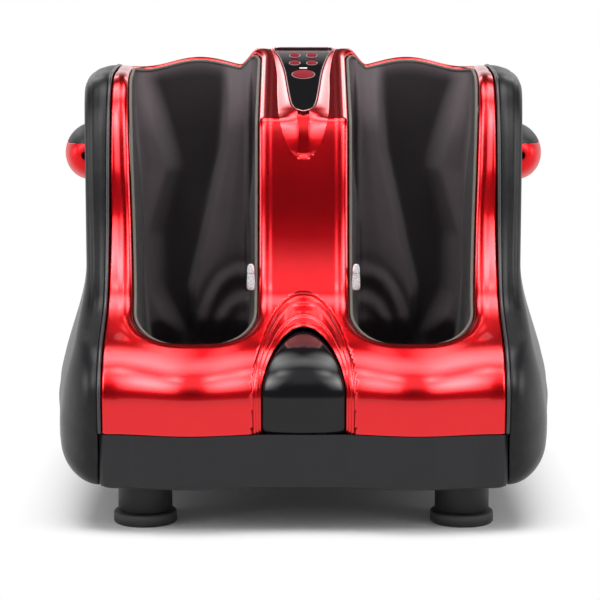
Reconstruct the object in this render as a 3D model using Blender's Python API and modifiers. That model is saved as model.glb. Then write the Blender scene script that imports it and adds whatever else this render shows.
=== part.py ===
"""Foot and calf massager: two open leg wells, kneading arms beside the calves, rollers under the soles.

Metres, +Z up. The toes point along -Y. The origin is on the floor, under the middle of the body.
"""
import math

import bmesh
import bpy
import numpy as np
from mathutils import Matrix, Vector

# Overall sizes
BODY_WIDTH = 0.440
BODY_DEPTH = 0.400
CROWN_Z = 0.387
FLOOR_CLEARANCE = 0.040
SPLIT_Z = 0.0857
GAP = 0.0003
OVERRUN = 0.004
WELD = 0.000005
NORMAL_STEP = 0.0005

# Red front shell
SHELL_HALF_WIDTH = 0.1665
SHELL_WALL = 0.003
TOE_SWELL = 0.010
TOE_X = 0.094
TOE_HALF_WIDTH = 0.066
TOE_TOP_Z = 0.178
TOE_FULL_Z = 0.120
FRONT_DEPTH_SHARES = (-0.465, -0.475, -0.468, -0.43, -0.36, -0.29, -0.25, -0.22, -0.198, -0.17, -0.125,
                      -0.05, 0.075, 0.2, 0.3)
FRONT_HEIGHT_SHARES = (0.0, 0.063, 0.146, 0.219, 0.272, 0.332, 0.419, 0.545, 0.711, 0.85, 0.937,
                       0.983, 1.0, 0.995, 0.97)
REAR_DEPTH_SHARES = (0.304, 0.375, 0.43, 0.465, 0.485, 0.496, 0.5, 0.497)
REAR_HEIGHT_SHARES = (0.968, 0.915, 0.825, 0.70, 0.50, 0.25, 0.10, 0.0)

# Leg wells
WELL_INNER_X = 0.039
WELL_OUTER_LOW_MARGIN = 0.0235
WELL_OUTER_HIGH_MARGIN = 0.0095
WELL_OUTER_LOW_X = SHELL_HALF_WIDTH - WELL_OUTER_LOW_MARGIN
WELL_OUTER_HIGH_X = SHELL_HALF_WIDTH - WELL_OUTER_HIGH_MARGIN
WELL_LOW_ARC = 0.094
WELL_REAR_MARGIN = 0.036
WELL_LOW_RADIUS = 0.040
WELL_HIGH_RADIUS = 0.026
SOLE_INNER_X = 0.046
SOLE_OUTER_MARGIN = 0.002
SOLE_OUTER_X = WELL_OUTER_LOW_X - SOLE_OUTER_MARGIN
SOLE_TOE_MARGIN = 0.028
SOLE_TOE_Y = -BODY_DEPTH / 2 + SOLE_TOE_MARGIN
SOLE_HEEL_MARGIN = 0.117
SOLE_HEEL_Y = BODY_DEPTH / 2 - SOLE_HEEL_MARGIN
SOLE_TOE_RADIUS = 0.036
SOLE_HEEL_RADIUS = 0.030
LINER_WALL = 0.002
LINER_CLEARANCE = 0.0009
LINER_FOLD = 0.005
LINER_TUCK = 0.012
LINER_EASE = 0.045

# Padded side shells and the piping along their seams
PIPING_RADIUS = 0.0015
SIDE_WALL = 0.0025
SIDE_SKIRT = 0.0015
SIDE_PADDING = 0.028
SIDE_UPPER_X = SHELL_HALF_WIDTH + SIDE_PADDING
SIDE_CROWN = 0.005
SIDE_CROWN_MARGIN = 0.090
SIDE_CROWN_LENGTH = BODY_DEPTH / 2 - SIDE_CROWN_MARGIN
SIDE_MIDDLE_Y = 0.050
SIDE_HEART_Y = 0.030
SIDE_HEART_Z = 0.170
BULGE_TOP_Z = 0.215
BULGE_FULL_Z = 0.096
SIDE_UPPER_ROUNDING = 0.015
SIDE_LOWER_ROUNDING = 0.050
SIDE_BOTTOM_RADIUS = 0.012

# Base tray
TRAY_WALL = 0.003
TRAY_ROUNDING = 0.006
TRAY_CORNER = 0.008

# Arch insert between the toe boxes
INSERT_HALF_WIDTH = 0.035
INSERT_TOP_Z = 0.170

# Console on the bridge between the wells
PANEL_TIP_Y = -0.066
PANEL_TIP_Z = 0.346
PANEL_TOP_Y = 0.080
PANEL_TOP_Z = 0.3965
PANEL_HALF_WIDTH = 0.0285
PANEL_THICKNESS = 0.003
PANEL_LENGTH_SHARES = (0.0, 0.012, 0.05, 0.14, 0.35, 0.62, 0.84, 0.96, 1.0)
PANEL_WIDTH_SHARES = (0.0, 0.14, 0.27, 0.36, 0.45, 0.56, 0.74, 0.92, 0.90)
BRIDGE_SINK = 0.006
BRIDGE_TOP_SINK = 0.001
BRIDGE_SHOULDER = 0.006
BRIDGE_REAR_MARGIN = 0.012
BRIDGE_FLAT_X = 0.042
BRIDGE_EDGE_X = 0.060
SURROUND_WALL = 0.002
SURROUND_DEPTH = 0.026
SURROUND_PROUD = 0.0012
BUTTON_PROUD = 0.0014
BUTTON_TRAVEL = 0.0012
BUTTON_STEM = 0.0085
BUTTON_FLANGE = 0.0009
BUTTON_FLANGE_THICKNESS = 0.001
POWER_BUTTON_RADIUS = 0.0095
POWER_BUTTON_PLACE_SHARE = 0.56
SMALL_BUTTON_RADIUS = 0.0042
SMALL_BUTTON_X = 0.0078
LOW_ROW_PLACE_SHARE = 0.745
HIGH_ROW_PLACE_SHARE = 0.87
LED_LENGTH = 0.007
LED_WIDTH = 0.0022
LED_PLACE_SHARE = 0.665
SWITCH_BOARD_DROP = 0.0110
BOARD_THICKNESS = 0.0015
BOARD_POST_RADIUS = 0.0018
BOARD_POST_SHARES = ((0.0, 0.32), (-0.4, 0.94), (0.4, 0.94))

# Carrying handles
HANDLE_Y = 0.045
HANDLE_Z = 0.304
HANDLE_HALF_LENGTH = 0.066
HANDLE_HALF_HEIGHT = 0.0255
HANDLE_REACH = 0.0215
HANDLE_SINK = 0.002
HANDLE_WALL = 0.003
HANDLE_SPLIT_Z = 0.3145
HANDLE_FULLNESS_SHARE = 0.6
HANDLE_END_SHARE = 0.04
FINGER_SLOT_LENGTH = 0.084
FINGER_SLOT_WIDTH = 0.0135

# Tilt stand under the toe end, and the rear feet
LEG_SIDE_MARGIN = 0.0315
LEG_TOE_MARGIN = 0.070
LEG_X = SHELL_HALF_WIDTH - LEG_SIDE_MARGIN
LEG_Y = -BODY_DEPTH / 2 + LEG_TOE_MARGIN
STAND_SETBACK = 0.012
STAND_AXIS_Y = LEG_Y + STAND_SETBACK
STAND_AXIS_Z = 0.068
STAND_SHAFT_RADIUS = 0.005
LEG_RADIUS = 0.023
LEG_BOSS_RADIUS = 0.0254
LEG_BOSS_HEIGHT = 0.016
LEG_HUB_RADIUS = 0.009
LEG_TOP_Z = 0.060
FOOT_RADIUS = 0.0268
FOOT_HEIGHT = 0.010
REAR_FOOT_MARGIN = 0.070
REAR_FOOT_Y = BODY_DEPTH / 2 - REAR_FOOT_MARGIN
RECESS_HALF_WIDTH = 0.0285
RECESS_WALL = 0.0025
RECESS_ROOM = 0.0015
STAND_RANGE = math.radians(90)

# Calf drive behind the wells
CALF_SHAFT_MARGIN = 0.065
CALF_SHAFT_Y = BODY_DEPTH / 2 - CALF_SHAFT_MARGIN
CALF_SHAFT_Z = 0.250
CALF_SHAFT_RADIUS = 0.004
CAM_RADIUS = 0.010
CAM_OFFSET = 0.004
CAM_WIDTH = 0.008
ARM_INNER_X = 0.022
ARM_OUTER_MARGIN = 0.006
ARM_OUTER_X = SHELL_HALF_WIDTH - ARM_OUTER_MARGIN
ARM_THICKNESS = 0.006
CALF_SHAFT_END = 0.0115
CALF_SHAFT_HALF_LENGTH = ARM_OUTER_X + CALF_SHAFT_END
ARM_PIVOT_LEAD = 0.017
ARM_PIVOT_Y = CALF_SHAFT_Y - ARM_PIVOT_LEAD
ARM_PIVOT_Z = 0.135
ARM_HUB_RADIUS = 0.009
ARM_WINDOW_RADIUS = 0.0188
ARM_RING_RADIUS = 0.0235
ARM_RING_END = math.radians(108)
ARM_REACH = 0.148
ARM_BLADE_TOP = 0.135
ARM_BLADE_BOTTOM = 0.045
ARM_BLADE_RADIUS = 0.016
NODULE_RADIUS = 0.0095
NODULE_SHARES = (0.86, 0.62, 0.38)
PIVOT_ROD_RADIUS = 0.003
FRAME_PLATE = 0.003
FRAME_POST = 0.004
INNER_POST_X = 0.040
OUTER_POST_MARGIN = 0.0115
OUTER_POST_X = ARM_OUTER_X - OUTER_POST_MARGIN
POST_FRONT_MARGIN = 0.014
POST_REAR_MARGIN = 0.027
POST_FRONT_Y = ARM_PIVOT_Y - POST_FRONT_MARGIN
POST_REAR_Y = CALF_SHAFT_Y + POST_REAR_MARGIN
POST_TOP_Z = 0.266
GEAR_PLATE_Z = 0.206
CALF_MOTOR_RADIUS = 0.0165
CALF_MOTOR_LENGTH = 0.078

# Sole drive in the base
SOLE_SHAFT_SETBACK = 0.025
SOLE_SHAFT_Y = STAND_AXIS_Y + STAND_AXIS_Z + SOLE_SHAFT_SETBACK
SOLE_SHAFT_Z = 0.0685
SOLE_SHAFT_RADIUS = 0.003
SOLE_SHAFT_HALF_LENGTH = 0.104
ROLLER_X = 0.086
ROLLER_WIDTH = 0.026
ROLLER_CORE_RADIUS = 0.0125
ROLLER_LOBE_RADIUS = 0.0055
SOLE_POST_X = 0.055
SOLE_POST_HALF_DEPTH = 0.009
SOLE_MOTOR_RADIUS = 0.014
SOLE_MOTOR_LENGTH = 0.055
FOOTBED_THICKNESS = 0.0025
FOOTBED_WINDOW_MARGIN = 0.005

# Worm gears
CALF_TEETH = 24
CALF_WHEEL_RADIUS = 0.025
SOLE_TEETH = 18
SOLE_WHEEL_RADIUS = 0.018
WHEEL_WIDTH = 0.006
TOOTH_HEIGHT = 0.0017
TOOTH_DEPTH = 0.0022
TOOTH_TIP_SHARE = 0.22
TOOTH_ROOT_SHARE = 0.42
WORM_CORE_RADIUS = 0.0056
WORM_THREAD_RADIUS = 0.0095
WORM_STUB_RADIUS = 0.0025
WORM_SOCKET = 0.005
WORM_TAIL = 0.004
WHEEL_CLEARANCE = 0.0012
WORM_TURNS = 3.5
WORM_ROWS_PER_TURN = 8
WORM_SIDES = 14
THREAD_TIP_SHARE = 0.20
THREAD_ROOT_SHARE = 0.46

# Electrics and fasteners
POWER_BOARD_X = 0.092
POWER_BOARD_ROOM_SHARE = 0.594
POWER_BOARD_HALF_WIDTH = 0.026
STANDOFF_HEIGHT = 0.005
TRANSFORMER_HALF = 0.012
TRANSFORMER_HEIGHT = 0.018
INLET_X = -0.100
INLET_Z = 0.116
INLET_HALF_WIDTH = 0.014
INLET_HALF_HEIGHT = 0.011
INLET_DEPTH = 0.022
SOCKET_HALF_WIDTH = 0.0075
SOCKET_HALF_HEIGHT = 0.0045
SOCKET_DEPTH = 0.014
SWITCH_X = -0.062
SWITCH_HALF_WIDTH = 0.0105
SWITCH_HALF_HEIGHT = 0.015
ROCKER_HALF_WIDTH = 0.0072
ROCKER_HALF_HEIGHT = 0.0105
ROCKER_DEPTH = 0.008
ROCKER_TILT = math.radians(8)
FLANGE = 0.002
ZIP_PULL_WIDTH = 0.006
ZIP_PULL_LENGTH = 0.018
ZIP_PULL_THICKNESS = 0.0016
ZIP_CLEARANCE = 0.0020
ZIP_START_LENGTH = 0.160
ZIP_TRAVEL = 0.080
ZIP_PLACE_SHARE = 0.983
ZIP_DROP_SHARE = 0.08

# How finely the round shapes are divided
RIM_ARC_STEPS = 4
RIM_SHORT_STEPS = 2
RIM_LONG_STEPS = 6
SHELL_RINGS = 5
OUTLINE_STEPS = 5
RIM_COUNT = 4 * (RIM_ARC_STEPS + 1) + 2 * (RIM_SHORT_STEPS + RIM_LONG_STEPS)

SIDES = (("left", -1), ("right", 1))
SIDE_SEAM_X = SHELL_HALF_WIDTH + 2 * (PIPING_RADIUS + GAP)
TRAY_HALF_WIDTH = SIDE_SEAM_X - GAP
TRAY_FLOOR_Z = FLOOR_CLEARANCE + TRAY_WALL
PANEL_SLOPE = math.atan2(PANEL_TOP_Z - PANEL_TIP_Z, PANEL_TOP_Y - PANEL_TIP_Y)
PANEL_LENGTH = math.hypot(PANEL_TOP_Z - PANEL_TIP_Z, PANEL_TOP_Y - PANEL_TIP_Y)

COLOURS = {
    "red_gloss": ((0.62, 0.012, 0.02), 0.15, 0.3),
    "black_gloss": ((0.01, 0.01, 0.011), 0.12, 0.0),
    "black_leather": ((0.018, 0.018, 0.02), 0.38, 0.0),
    "black_plastic": ((0.02, 0.02, 0.021), 0.55, 0.0),
    "rubber": ((0.015, 0.015, 0.015), 0.8, 0.0),
    "fabric": ((0.055, 0.045, 0.042), 0.9, 0.0),
    "zip_metal": ((0.62, 0.62, 0.63), 0.3, 1.0),
    "steel": ((0.5, 0.5, 0.52), 0.35, 1.0),
    "gear_plastic": ((0.75, 0.73, 0.68), 0.5, 0.0),
    "red_button": ((0.55, 0.03, 0.05), 0.3, 0.0),
    "led": ((0.85, 0.8, 0.8), 0.2, 0.0),
    "circuit_board": ((0.02, 0.16, 0.05), 0.5, 0.0),
    "piping": ((0.05, 0.05, 0.055), 0.35, 0.0),
}


# Scene and object helpers

def clear_scene():
    for old in list(bpy.data.objects):
        bpy.data.objects.remove(old)


def collection(name):
    made = bpy.data.collections.new(name)
    bpy.context.scene.collection.children.link(made)
    return made


def material(name):
    made = bpy.data.materials.get(name)
    if made is None:
        colour, roughness, metallic = COLOURS[name]
        made = bpy.data.materials.new(name)
        made.use_nodes = True
        shader = made.node_tree.nodes["Principled BSDF"]
        shader.inputs["Base Color"].default_value = (*colour, 1.0)
        shader.inputs["Roughness"].default_value = roughness
        shader.inputs["Metallic"].default_value = metallic
    return made


def place(name, mesh, finish=None):
    """Links a mesh as a named part, or as a hidden cutter when it has no finish."""
    made = bpy.data.objects.new(name, mesh)
    if finish is None:
        CUTTERS.objects.link(made)
        made.hide_render = True
        made.display_type = "WIRE"
    else:
        PARTS.objects.link(made)
        mesh.materials.append(material(finish))
    return made


def mesh_from(bm, name):
    mesh = bpy.data.meshes.new(name)
    bm.to_mesh(mesh)
    bm.free()
    return mesh


def smooth(obj, angle=math.radians(35)):
    obj.data.shade_smooth()
    obj.data.set_sharp_from_angle(angle=angle)
    return obj


def thicken(obj, wall):
    """Gives an open surface its wall, on the inner side."""
    solid = obj.modifiers.new("wall", "SOLIDIFY")
    solid.thickness = wall
    solid.offset = -1
    solid.use_even_offset = True
    return obj


def boolean(obj, other, operation):
    step = obj.modifiers.new(other.name, "BOOLEAN")
    step.operation = operation
    step.solver = "EXACT"
    step.object = other
    return obj


def cut(obj, *cutters):
    for cutter in cutters:
        boolean(obj, cutter, "DIFFERENCE")
    return obj


def fuse(obj, *others):
    for other in others:
        boolean(obj, other, "UNION")
    return obj


def keep_within(obj, other):
    return boolean(obj, other, "INTERSECT")


# Basic solids

def box(name, low, high, finish=None, turn=None):
    """A box between two corners. With a turn matrix the box is turned about its own middle."""
    low, high = Vector(low), Vector(high)
    bm = bmesh.new()
    bmesh.ops.create_cube(bm, size=1)
    size = high - low
    bmesh.ops.scale(bm, vec=size, verts=bm.verts)
    if turn is not None:
        bmesh.ops.transform(bm, matrix=turn, verts=bm.verts)
    bmesh.ops.translate(bm, vec=(low + high) / 2, verts=bm.verts)
    return place(name, mesh_from(bm, name), finish)


def cylinder(name, start, end, radius, finish=None, sides=20, end_radius=None):
    """A cylinder, or a cone, from one point to another."""
    start, end = Vector(start), Vector(end)
    along_axis = end - start
    bm = bmesh.new()
    bmesh.ops.create_cone(bm, cap_ends=True, segments=sides, radius1=radius,
                          radius2=radius if end_radius is None else end_radius, depth=along_axis.length)
    turn = along_axis.to_track_quat("Z", "Y").to_matrix().to_4x4()
    bmesh.ops.transform(bm, matrix=Matrix.Translation((start + end) / 2) @ turn, verts=bm.verts)
    made = place(name, mesh_from(bm, name), finish)
    return smooth(made)


def ball(name, centre, radius, finish=None, sides=8, rings=6):
    bm = bmesh.new()
    bmesh.ops.create_uvsphere(bm, u_segments=sides, v_segments=rings, radius=radius)
    bmesh.ops.translate(bm, vec=centre, verts=bm.verts)
    return smooth(place(name, mesh_from(bm, name), finish))


def plate(name, outline, thickness, frame, finish=None, holes=()):
    """A flat plate from a closed outline and holes, in the plane of a frame matrix, about its middle."""
    curve = bpy.data.curves.new(name, "CURVE")
    curve.dimensions = "2D"
    curve.fill_mode = "BOTH"
    curve.extrude = thickness / 2
    for ring in (outline, *holes):
        spline = curve.splines.new("POLY")
        spline.points.add(len(ring) - 1)
        for point, (x, y) in zip(spline.points, ring):
            point.co = (x, y, 0, 1)
        spline.use_cyclic_u = True
    drawn = bpy.data.objects.new(name, curve)
    CUTTERS.objects.link(drawn)
    bpy.context.view_layer.update()
    evaluated = drawn.evaluated_get(bpy.context.evaluated_depsgraph_get())
    mesh = bpy.data.meshes.new_from_object(evaluated)
    bpy.data.objects.remove(drawn)
    bm = bmesh.new()
    bm.from_mesh(mesh)
    bmesh.ops.remove_doubles(bm, verts=bm.verts, dist=WELD)
    bmesh.ops.transform(bm, matrix=frame, verts=bm.verts)
    bmesh.ops.recalc_face_normals(bm, faces=bm.faces)
    bm.to_mesh(mesh)
    bm.free()
    mesh.materials.clear()
    mesh.name = name
    return smooth(place(name, mesh, finish), math.radians(30))


def surface(name, columns, rows, point_at, finish=None, closed=True, solid=False, inside=None):
    """A grid bent to point_at(u, v), welded where its edges meet.

    A surface turns its faces away from the point named inside. A solid has its faces recalculated.
    """
    bm = bmesh.new()
    bmesh.ops.create_grid(bm, x_segments=columns, y_segments=rows, size=0.5)
    for vert in bm.verts:
        u, v = vert.co.x + 0.5, vert.co.y + 0.5
        if closed and u > 1 - 0.5 / columns:
            u = 0.0
        vert.co = point_at(u, v)
    bmesh.ops.remove_doubles(bm, verts=bm.verts, dist=WELD)
    if solid:
        bmesh.ops.recalc_face_normals(bm, faces=bm.faces)
    elif inside is not None:
        heart = Vector(inside)
        outward = sum(face.normal.dot(face.calc_center_median() - heart) * face.calc_area()
                      for face in refreshed(bm))
        if outward < 0:
            bmesh.ops.reverse_faces(bm, faces=bm.faces)
    return smooth(place(name, mesh_from(bm, name), finish))


def refreshed(bm):
    bm.normal_update()
    return bm.faces


def tube(name, points, radius, finish):
    """A round tube along points, with closed ends, as a welded mesh."""
    curve = bpy.data.curves.new(name, "CURVE")
    curve.dimensions = "3D"
    curve.bevel_depth = radius
    curve.bevel_resolution = 0
    curve.use_fill_caps = True
    spline = curve.splines.new("POLY")
    spline.points.add(len(points) - 1)
    for point, place_at in zip(spline.points, points):
        point.co = (*place_at, 1)
    drawn = bpy.data.objects.new(name, curve)
    CUTTERS.objects.link(drawn)
    bpy.context.view_layer.update()
    evaluated = drawn.evaluated_get(bpy.context.evaluated_depsgraph_get())
    mesh = bpy.data.meshes.new_from_object(evaluated)
    bpy.data.objects.remove(drawn)
    bm = bmesh.new()
    bm.from_mesh(mesh)
    bmesh.ops.remove_doubles(bm, verts=bm.verts, dist=WELD)
    bmesh.ops.recalc_face_normals(bm, faces=bm.faces)
    bm.to_mesh(mesh)
    bm.free()
    mesh.materials.clear()
    mesh.name = name
    return smooth(place(name, mesh, finish))


# Lines and outlines

FILLET_SHARE = 0.48


def arc(centre, radius, start, end, steps):
    """Points on an arc, from one angle to another, in radians."""
    angles = np.linspace(start, end, steps + 1)
    return [(centre[0] + radius * math.cos(a), centre[1] + radius * math.sin(a)) for a in angles]


def circle(centre, radius, sides):
    return arc(centre, radius, 0, 2 * math.pi, sides)[:-1]


def blend_step(share):
    share = min(max(share, 0.0), 1.0)
    return share * share * (3 - 2 * share)


def smooth_line(points, steps):
    """Catmull-Rom curve through the points, with a number of steps between neighbours."""
    points = np.array(points)
    padded = np.vstack((2 * points[0] - points[1], points, 2 * points[-1] - points[-2]))
    drawn = []
    for a, b, c, d in zip(padded[:-3], padded[1:-2], padded[2:-1], padded[3:]):
        for k in range(steps):
            t = k / steps
            drawn.append((2 * b + (c - a) * t + (2 * a - 5 * b + 4 * c - d) * t * t
                          + (3 * b - a - 3 * c + d) * t * t * t) / 2)
    drawn.append(points[-1])
    return np.array(drawn)


def measured(points):
    """A line with the length run so far at each of its points."""
    steps = np.linalg.norm(np.diff(points, axis=0), axis=1)
    return points, np.concatenate(([0.0], np.cumsum(steps)))


def along(line, length):
    points, lengths = line
    return (float(np.interp(length, lengths, points[:, 0])), float(np.interp(length, lengths, points[:, 1])))


def profile(depth_shares, height_shares):
    height = CROWN_Z - SPLIT_Z
    points = [(d * BODY_DEPTH, SPLIT_Z + GAP + h * (height - GAP)) for d, h in zip(depth_shares, height_shares)]
    return measured(smooth_line(points, OUTLINE_STEPS))


def rounded_corner(before, corner, after, radius, steps):
    """A quarter-round between two straight edges, as a cubic curve through the corner's two tangents."""
    before, corner, after = (np.array(p) for p in (before, corner, after))
    start = corner + (before - corner) / np.linalg.norm(before - corner) * radius
    end = corner + (after - corner) / np.linalg.norm(after - corner) * radius
    pull = 4 / 3 * (math.sqrt(2) - 1)
    first, second = start + (corner - start) * pull, end + (corner - end) * pull
    return [start * (1 - t) ** 3 + first * 3 * t * (1 - t) ** 2 + second * 3 * t * t * (1 - t) + end * t ** 3
            for t in np.linspace(0, 1, steps + 1)]


def rounded_quad(corners, radii):
    """Closed outline with four rounded corners, starting at the first, with the same count for any sizes."""
    between = (RIM_SHORT_STEPS, RIM_LONG_STEPS, RIM_SHORT_STEPS, RIM_LONG_STEPS)
    edges = [math.dist(corners[k - 1], corners[k]) * FILLET_SHARE for k in range(4)]
    radii = [min(radii[k], edges[k], edges[(k + 1) % 4]) for k in range(4)]
    arcs = [rounded_corner(corners[k - 1], corners[k], corners[(k + 1) % 4], radii[k], RIM_ARC_STEPS)
            for k in range(4)]
    outline = []
    for k in range(4):
        outline.extend(arcs[k])
        start, end = arcs[k][-1], arcs[(k + 1) % 4][0]
        outline.extend(start + (end - start) * j / (between[k] + 1) for j in range(1, between[k] + 1))
    return np.array(outline)


def outer_quad(inner, low, high):
    """For each point of a rounded quad, the point that it runs out to on the rectangle from low to high."""
    between = (RIM_SHORT_STEPS, RIM_LONG_STEPS, RIM_SHORT_STEPS, RIM_LONG_STEPS)
    corners = [(low[0], low[1]), (high[0], low[1]), (high[0], high[1]), (low[0], high[1])]
    count = len(inner)
    outline = []
    index = 0
    for k in range(4):
        corner = np.array(corners[k])
        start, end = inner[index], inner[index + RIM_ARC_STEPS]
        on_last = np.array((start[0], corner[1])) if k in (1, 3) else np.array((corner[0], start[1]))
        on_next = np.array((corner[0], end[1])) if k in (1, 3) else np.array((end[0], corner[1]))
        for t in np.linspace(-1, 1, RIM_ARC_STEPS + 1):
            outline.append(corner + (on_last - corner) * max(-t, 0) + (on_next - corner) * max(t, 0))
        index += RIM_ARC_STEPS + 1
        for j in range(between[k]):
            point = inner[(index + j) % count]
            outline.append(np.array((corner[0], point[1])) if k in (1, 3) else np.array((point[0], corner[1])))
        index += between[k]
    return np.array(outline)


def ring_point(ring, u):
    """A point on a closed ring of points, at share u of its count."""
    place_at = (u % 1.0) * len(ring)
    k = int(place_at)
    return ring[k % len(ring)] + (ring[(k + 1) % len(ring)] - ring[k % len(ring)]) * (place_at - k)


# The red front shell: a line down the middle plane, swept across, with swollen toe boxes

def toe_swell(x, z):
    across = min(abs(abs(x) - TOE_X) / TOE_HALF_WIDTH, 1.0)
    bell = math.cos(across * math.pi / 2) ** 2
    return TOE_SWELL * bell * blend_step((TOE_TOP_Z - z) / (TOE_TOP_Z - TOE_FULL_Z))


def bridge_rise(x, y, z):
    """Between the wells the skin leaves the profile for a plane a little under the console's."""
    rear = BODY_DEPTH * FRONT_DEPTH_SHARES[-1]
    share = min((y - PANEL_TIP_Y) / (PANEL_TOP_Y - PANEL_TIP_Y), 1.0)
    sink = BRIDGE_SINK + (BRIDGE_TOP_SINK - BRIDGE_SINK) * share
    height = PANEL_TIP_Z + (PANEL_TOP_Z - PANEL_TIP_Z) * share - sink
    starts = blend_step((y - PANEL_TIP_Y + BRIDGE_SHOULDER) / (2 * BRIDGE_SHOULDER))
    ends = blend_step((rear - y) / (rear - PANEL_TOP_Y - BRIDGE_REAR_MARGIN))
    across = blend_step((BRIDGE_EDGE_X - abs(x)) / (BRIDGE_EDGE_X - BRIDGE_FLAT_X))
    return (height - z) * starts * ends * across


def front_point(x, length):
    y, z = along(FRONT, length)
    return Vector((x, y - toe_swell(x, z), z + bridge_rise(x, y, z)))


def front_normal(x, length):
    step = NORMAL_STEP
    across = front_point(x + step, length) - front_point(x - step, length)
    up = front_point(x, length + step) - front_point(x, length - step)
    return across.cross(up).normalized()


def well_ring(inset=0.0):
    """The well's opening, in widths and in lengths along the front profile."""
    low, high = WELL_LOW_ARC + inset, FRONT_LENGTH - WELL_REAR_MARGIN - inset
    corners = [(WELL_INNER_X + inset, low), (WELL_OUTER_LOW_X - inset, low),
               (WELL_OUTER_HIGH_X - inset, high), (WELL_INNER_X + inset, high)]
    radii = (WELL_LOW_RADIUS, WELL_LOW_RADIUS, WELL_HIGH_RADIUS, WELL_HIGH_RADIUS)
    return rounded_quad(corners, radii)


def make_front_shell(insert_hole, console_hole):
    rim = well_ring()
    edge = outer_quad(rim, (0.0, 0.0), (SHELL_HALF_WIDTH, FRONT_LENGTH))

    def point_at(u, v):
        inner, outer = ring_point(rim, u), ring_point(edge, u)
        x, length = inner + (outer - inner) * v
        return front_point(x, length)

    shell = surface("front_shell", len(rim), SHELL_RINGS, point_at, "red_gloss",
                    inside=(TOE_X, 0, SIDE_HEART_Z))
    mirror = shell.modifiers.new("right and left", "MIRROR")
    mirror.merge_threshold = WELD
    thicken(shell, SHELL_WALL)
    return cut(shell, insert_hole, console_hole)


def arch_prism(name, clearance):
    """The arch of the insert as a cutter that runs through the shell from front to back."""
    radius = INSERT_HALF_WIDTH + clearance
    spring = INSERT_TOP_Z - INSERT_HALF_WIDTH
    outline = arc((0, spring), radius, 0, math.pi, 16)
    outline += [(-radius, SPLIT_Z - OVERRUN), (radius, SPLIT_Z - OVERRUN)]
    middle_y = -BODY_DEPTH / 2 + INSERT_HALF_WIDTH
    frame = Matrix(((1, 0, 0, 0), (0, 0, -1, middle_y), (0, 1, 0, 0), (0, 0, 0, 1)))
    return plate(name, outline, 2 * INSERT_HALF_WIDTH + 2 * OVERRUN, frame)


def make_arch_insert():
    half = INSERT_HALF_WIDTH + OVERRUN
    top = INSERT_TOP_Z - SPLIT_Z + INSERT_HALF_WIDTH

    def point_at(u, v):
        return front_point((2 * u - 1) * half, v * top)

    insert = surface("arch_insert", 6, 10, point_at, "black_gloss", closed=False,
                     inside=(0, 0, SIDE_HEART_Z))
    thicken(insert, SHELL_WALL)
    return keep_within(insert, arch_prism("arch_of_insert", -GAP))


# The rear cover

def rear_point(x, length):
    y, z = along(REAR, length)
    return Vector((x, y, z))


def make_rear_cover():
    def point_at(u, v):
        return rear_point((2 * u - 1) * SHELL_HALF_WIDTH, v * REAR_LENGTH)

    cover = surface("rear_cover", 4, 14, point_at, "black_leather", closed=False, inside=(0, 0, SIDE_HEART_Z))
    thicken(cover, SHELL_WALL)
    holes = [rear_hole("inlet_hole", INLET_X, INLET_HALF_WIDTH, INLET_HALF_HEIGHT),
             rear_hole("switch_hole", SWITCH_X, SWITCH_HALF_WIDTH, SWITCH_HALF_HEIGHT)]
    return cut(cover, *holes)


def rear_hole(name, x, half_width, half_height):
    rear_y = BODY_DEPTH / 2
    return box(name, (x - half_width - GAP, rear_y - INLET_DEPTH, INLET_Z - half_height - GAP),
               (x + half_width + GAP, rear_y + OVERRUN, INLET_Z + half_height + GAP))


# The padded side shells

def side_outline():
    """Closed outline of the body's side: up the front, down the rear and back along the bottom."""
    front, rear = FRONT[0], REAR[0]
    toe, heel = front[0], rear[-1]
    bottom = FLOOR_CLEARANCE + GAP
    corners = [tuple(toe), (toe[0] + TRAY_ROUNDING, bottom), (heel[0] - TRAY_ROUNDING, bottom), tuple(heel)]
    toe_arc = rounded_corner(corners[0], corners[1], corners[2], SIDE_BOTTOM_RADIUS, 3)
    heel_arc = rounded_corner(corners[1], corners[2], corners[3], SIDE_BOTTOM_RADIUS, 3)
    closed = np.vstack((front, rear[1:], heel_arc[::-1], toe_arc[::-1], [toe]))
    return measured(closed)


def upper_side_x(y):
    return SIDE_UPPER_X - SIDE_CROWN * ((y - SIDE_MIDDLE_Y) / SIDE_CROWN_LENGTH) ** 2


def bulge_share(z):
    return blend_step((BULGE_TOP_Z - z) / (BULGE_TOP_Z - BULGE_FULL_Z))


def side_x(y, z):
    """How far out the padded side stands, away from its rounded edge."""
    return upper_side_x(y) + (BODY_WIDTH / 2 - SIDE_UPPER_X) * bulge_share(z)


SIDE_ROUNDING_SHARES = (0.0, 0.0, 0.24, 0.47, 0.7, 1.0)
SIDE_INNER_SHARES = (0.3, 0.65, 1.0)


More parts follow.
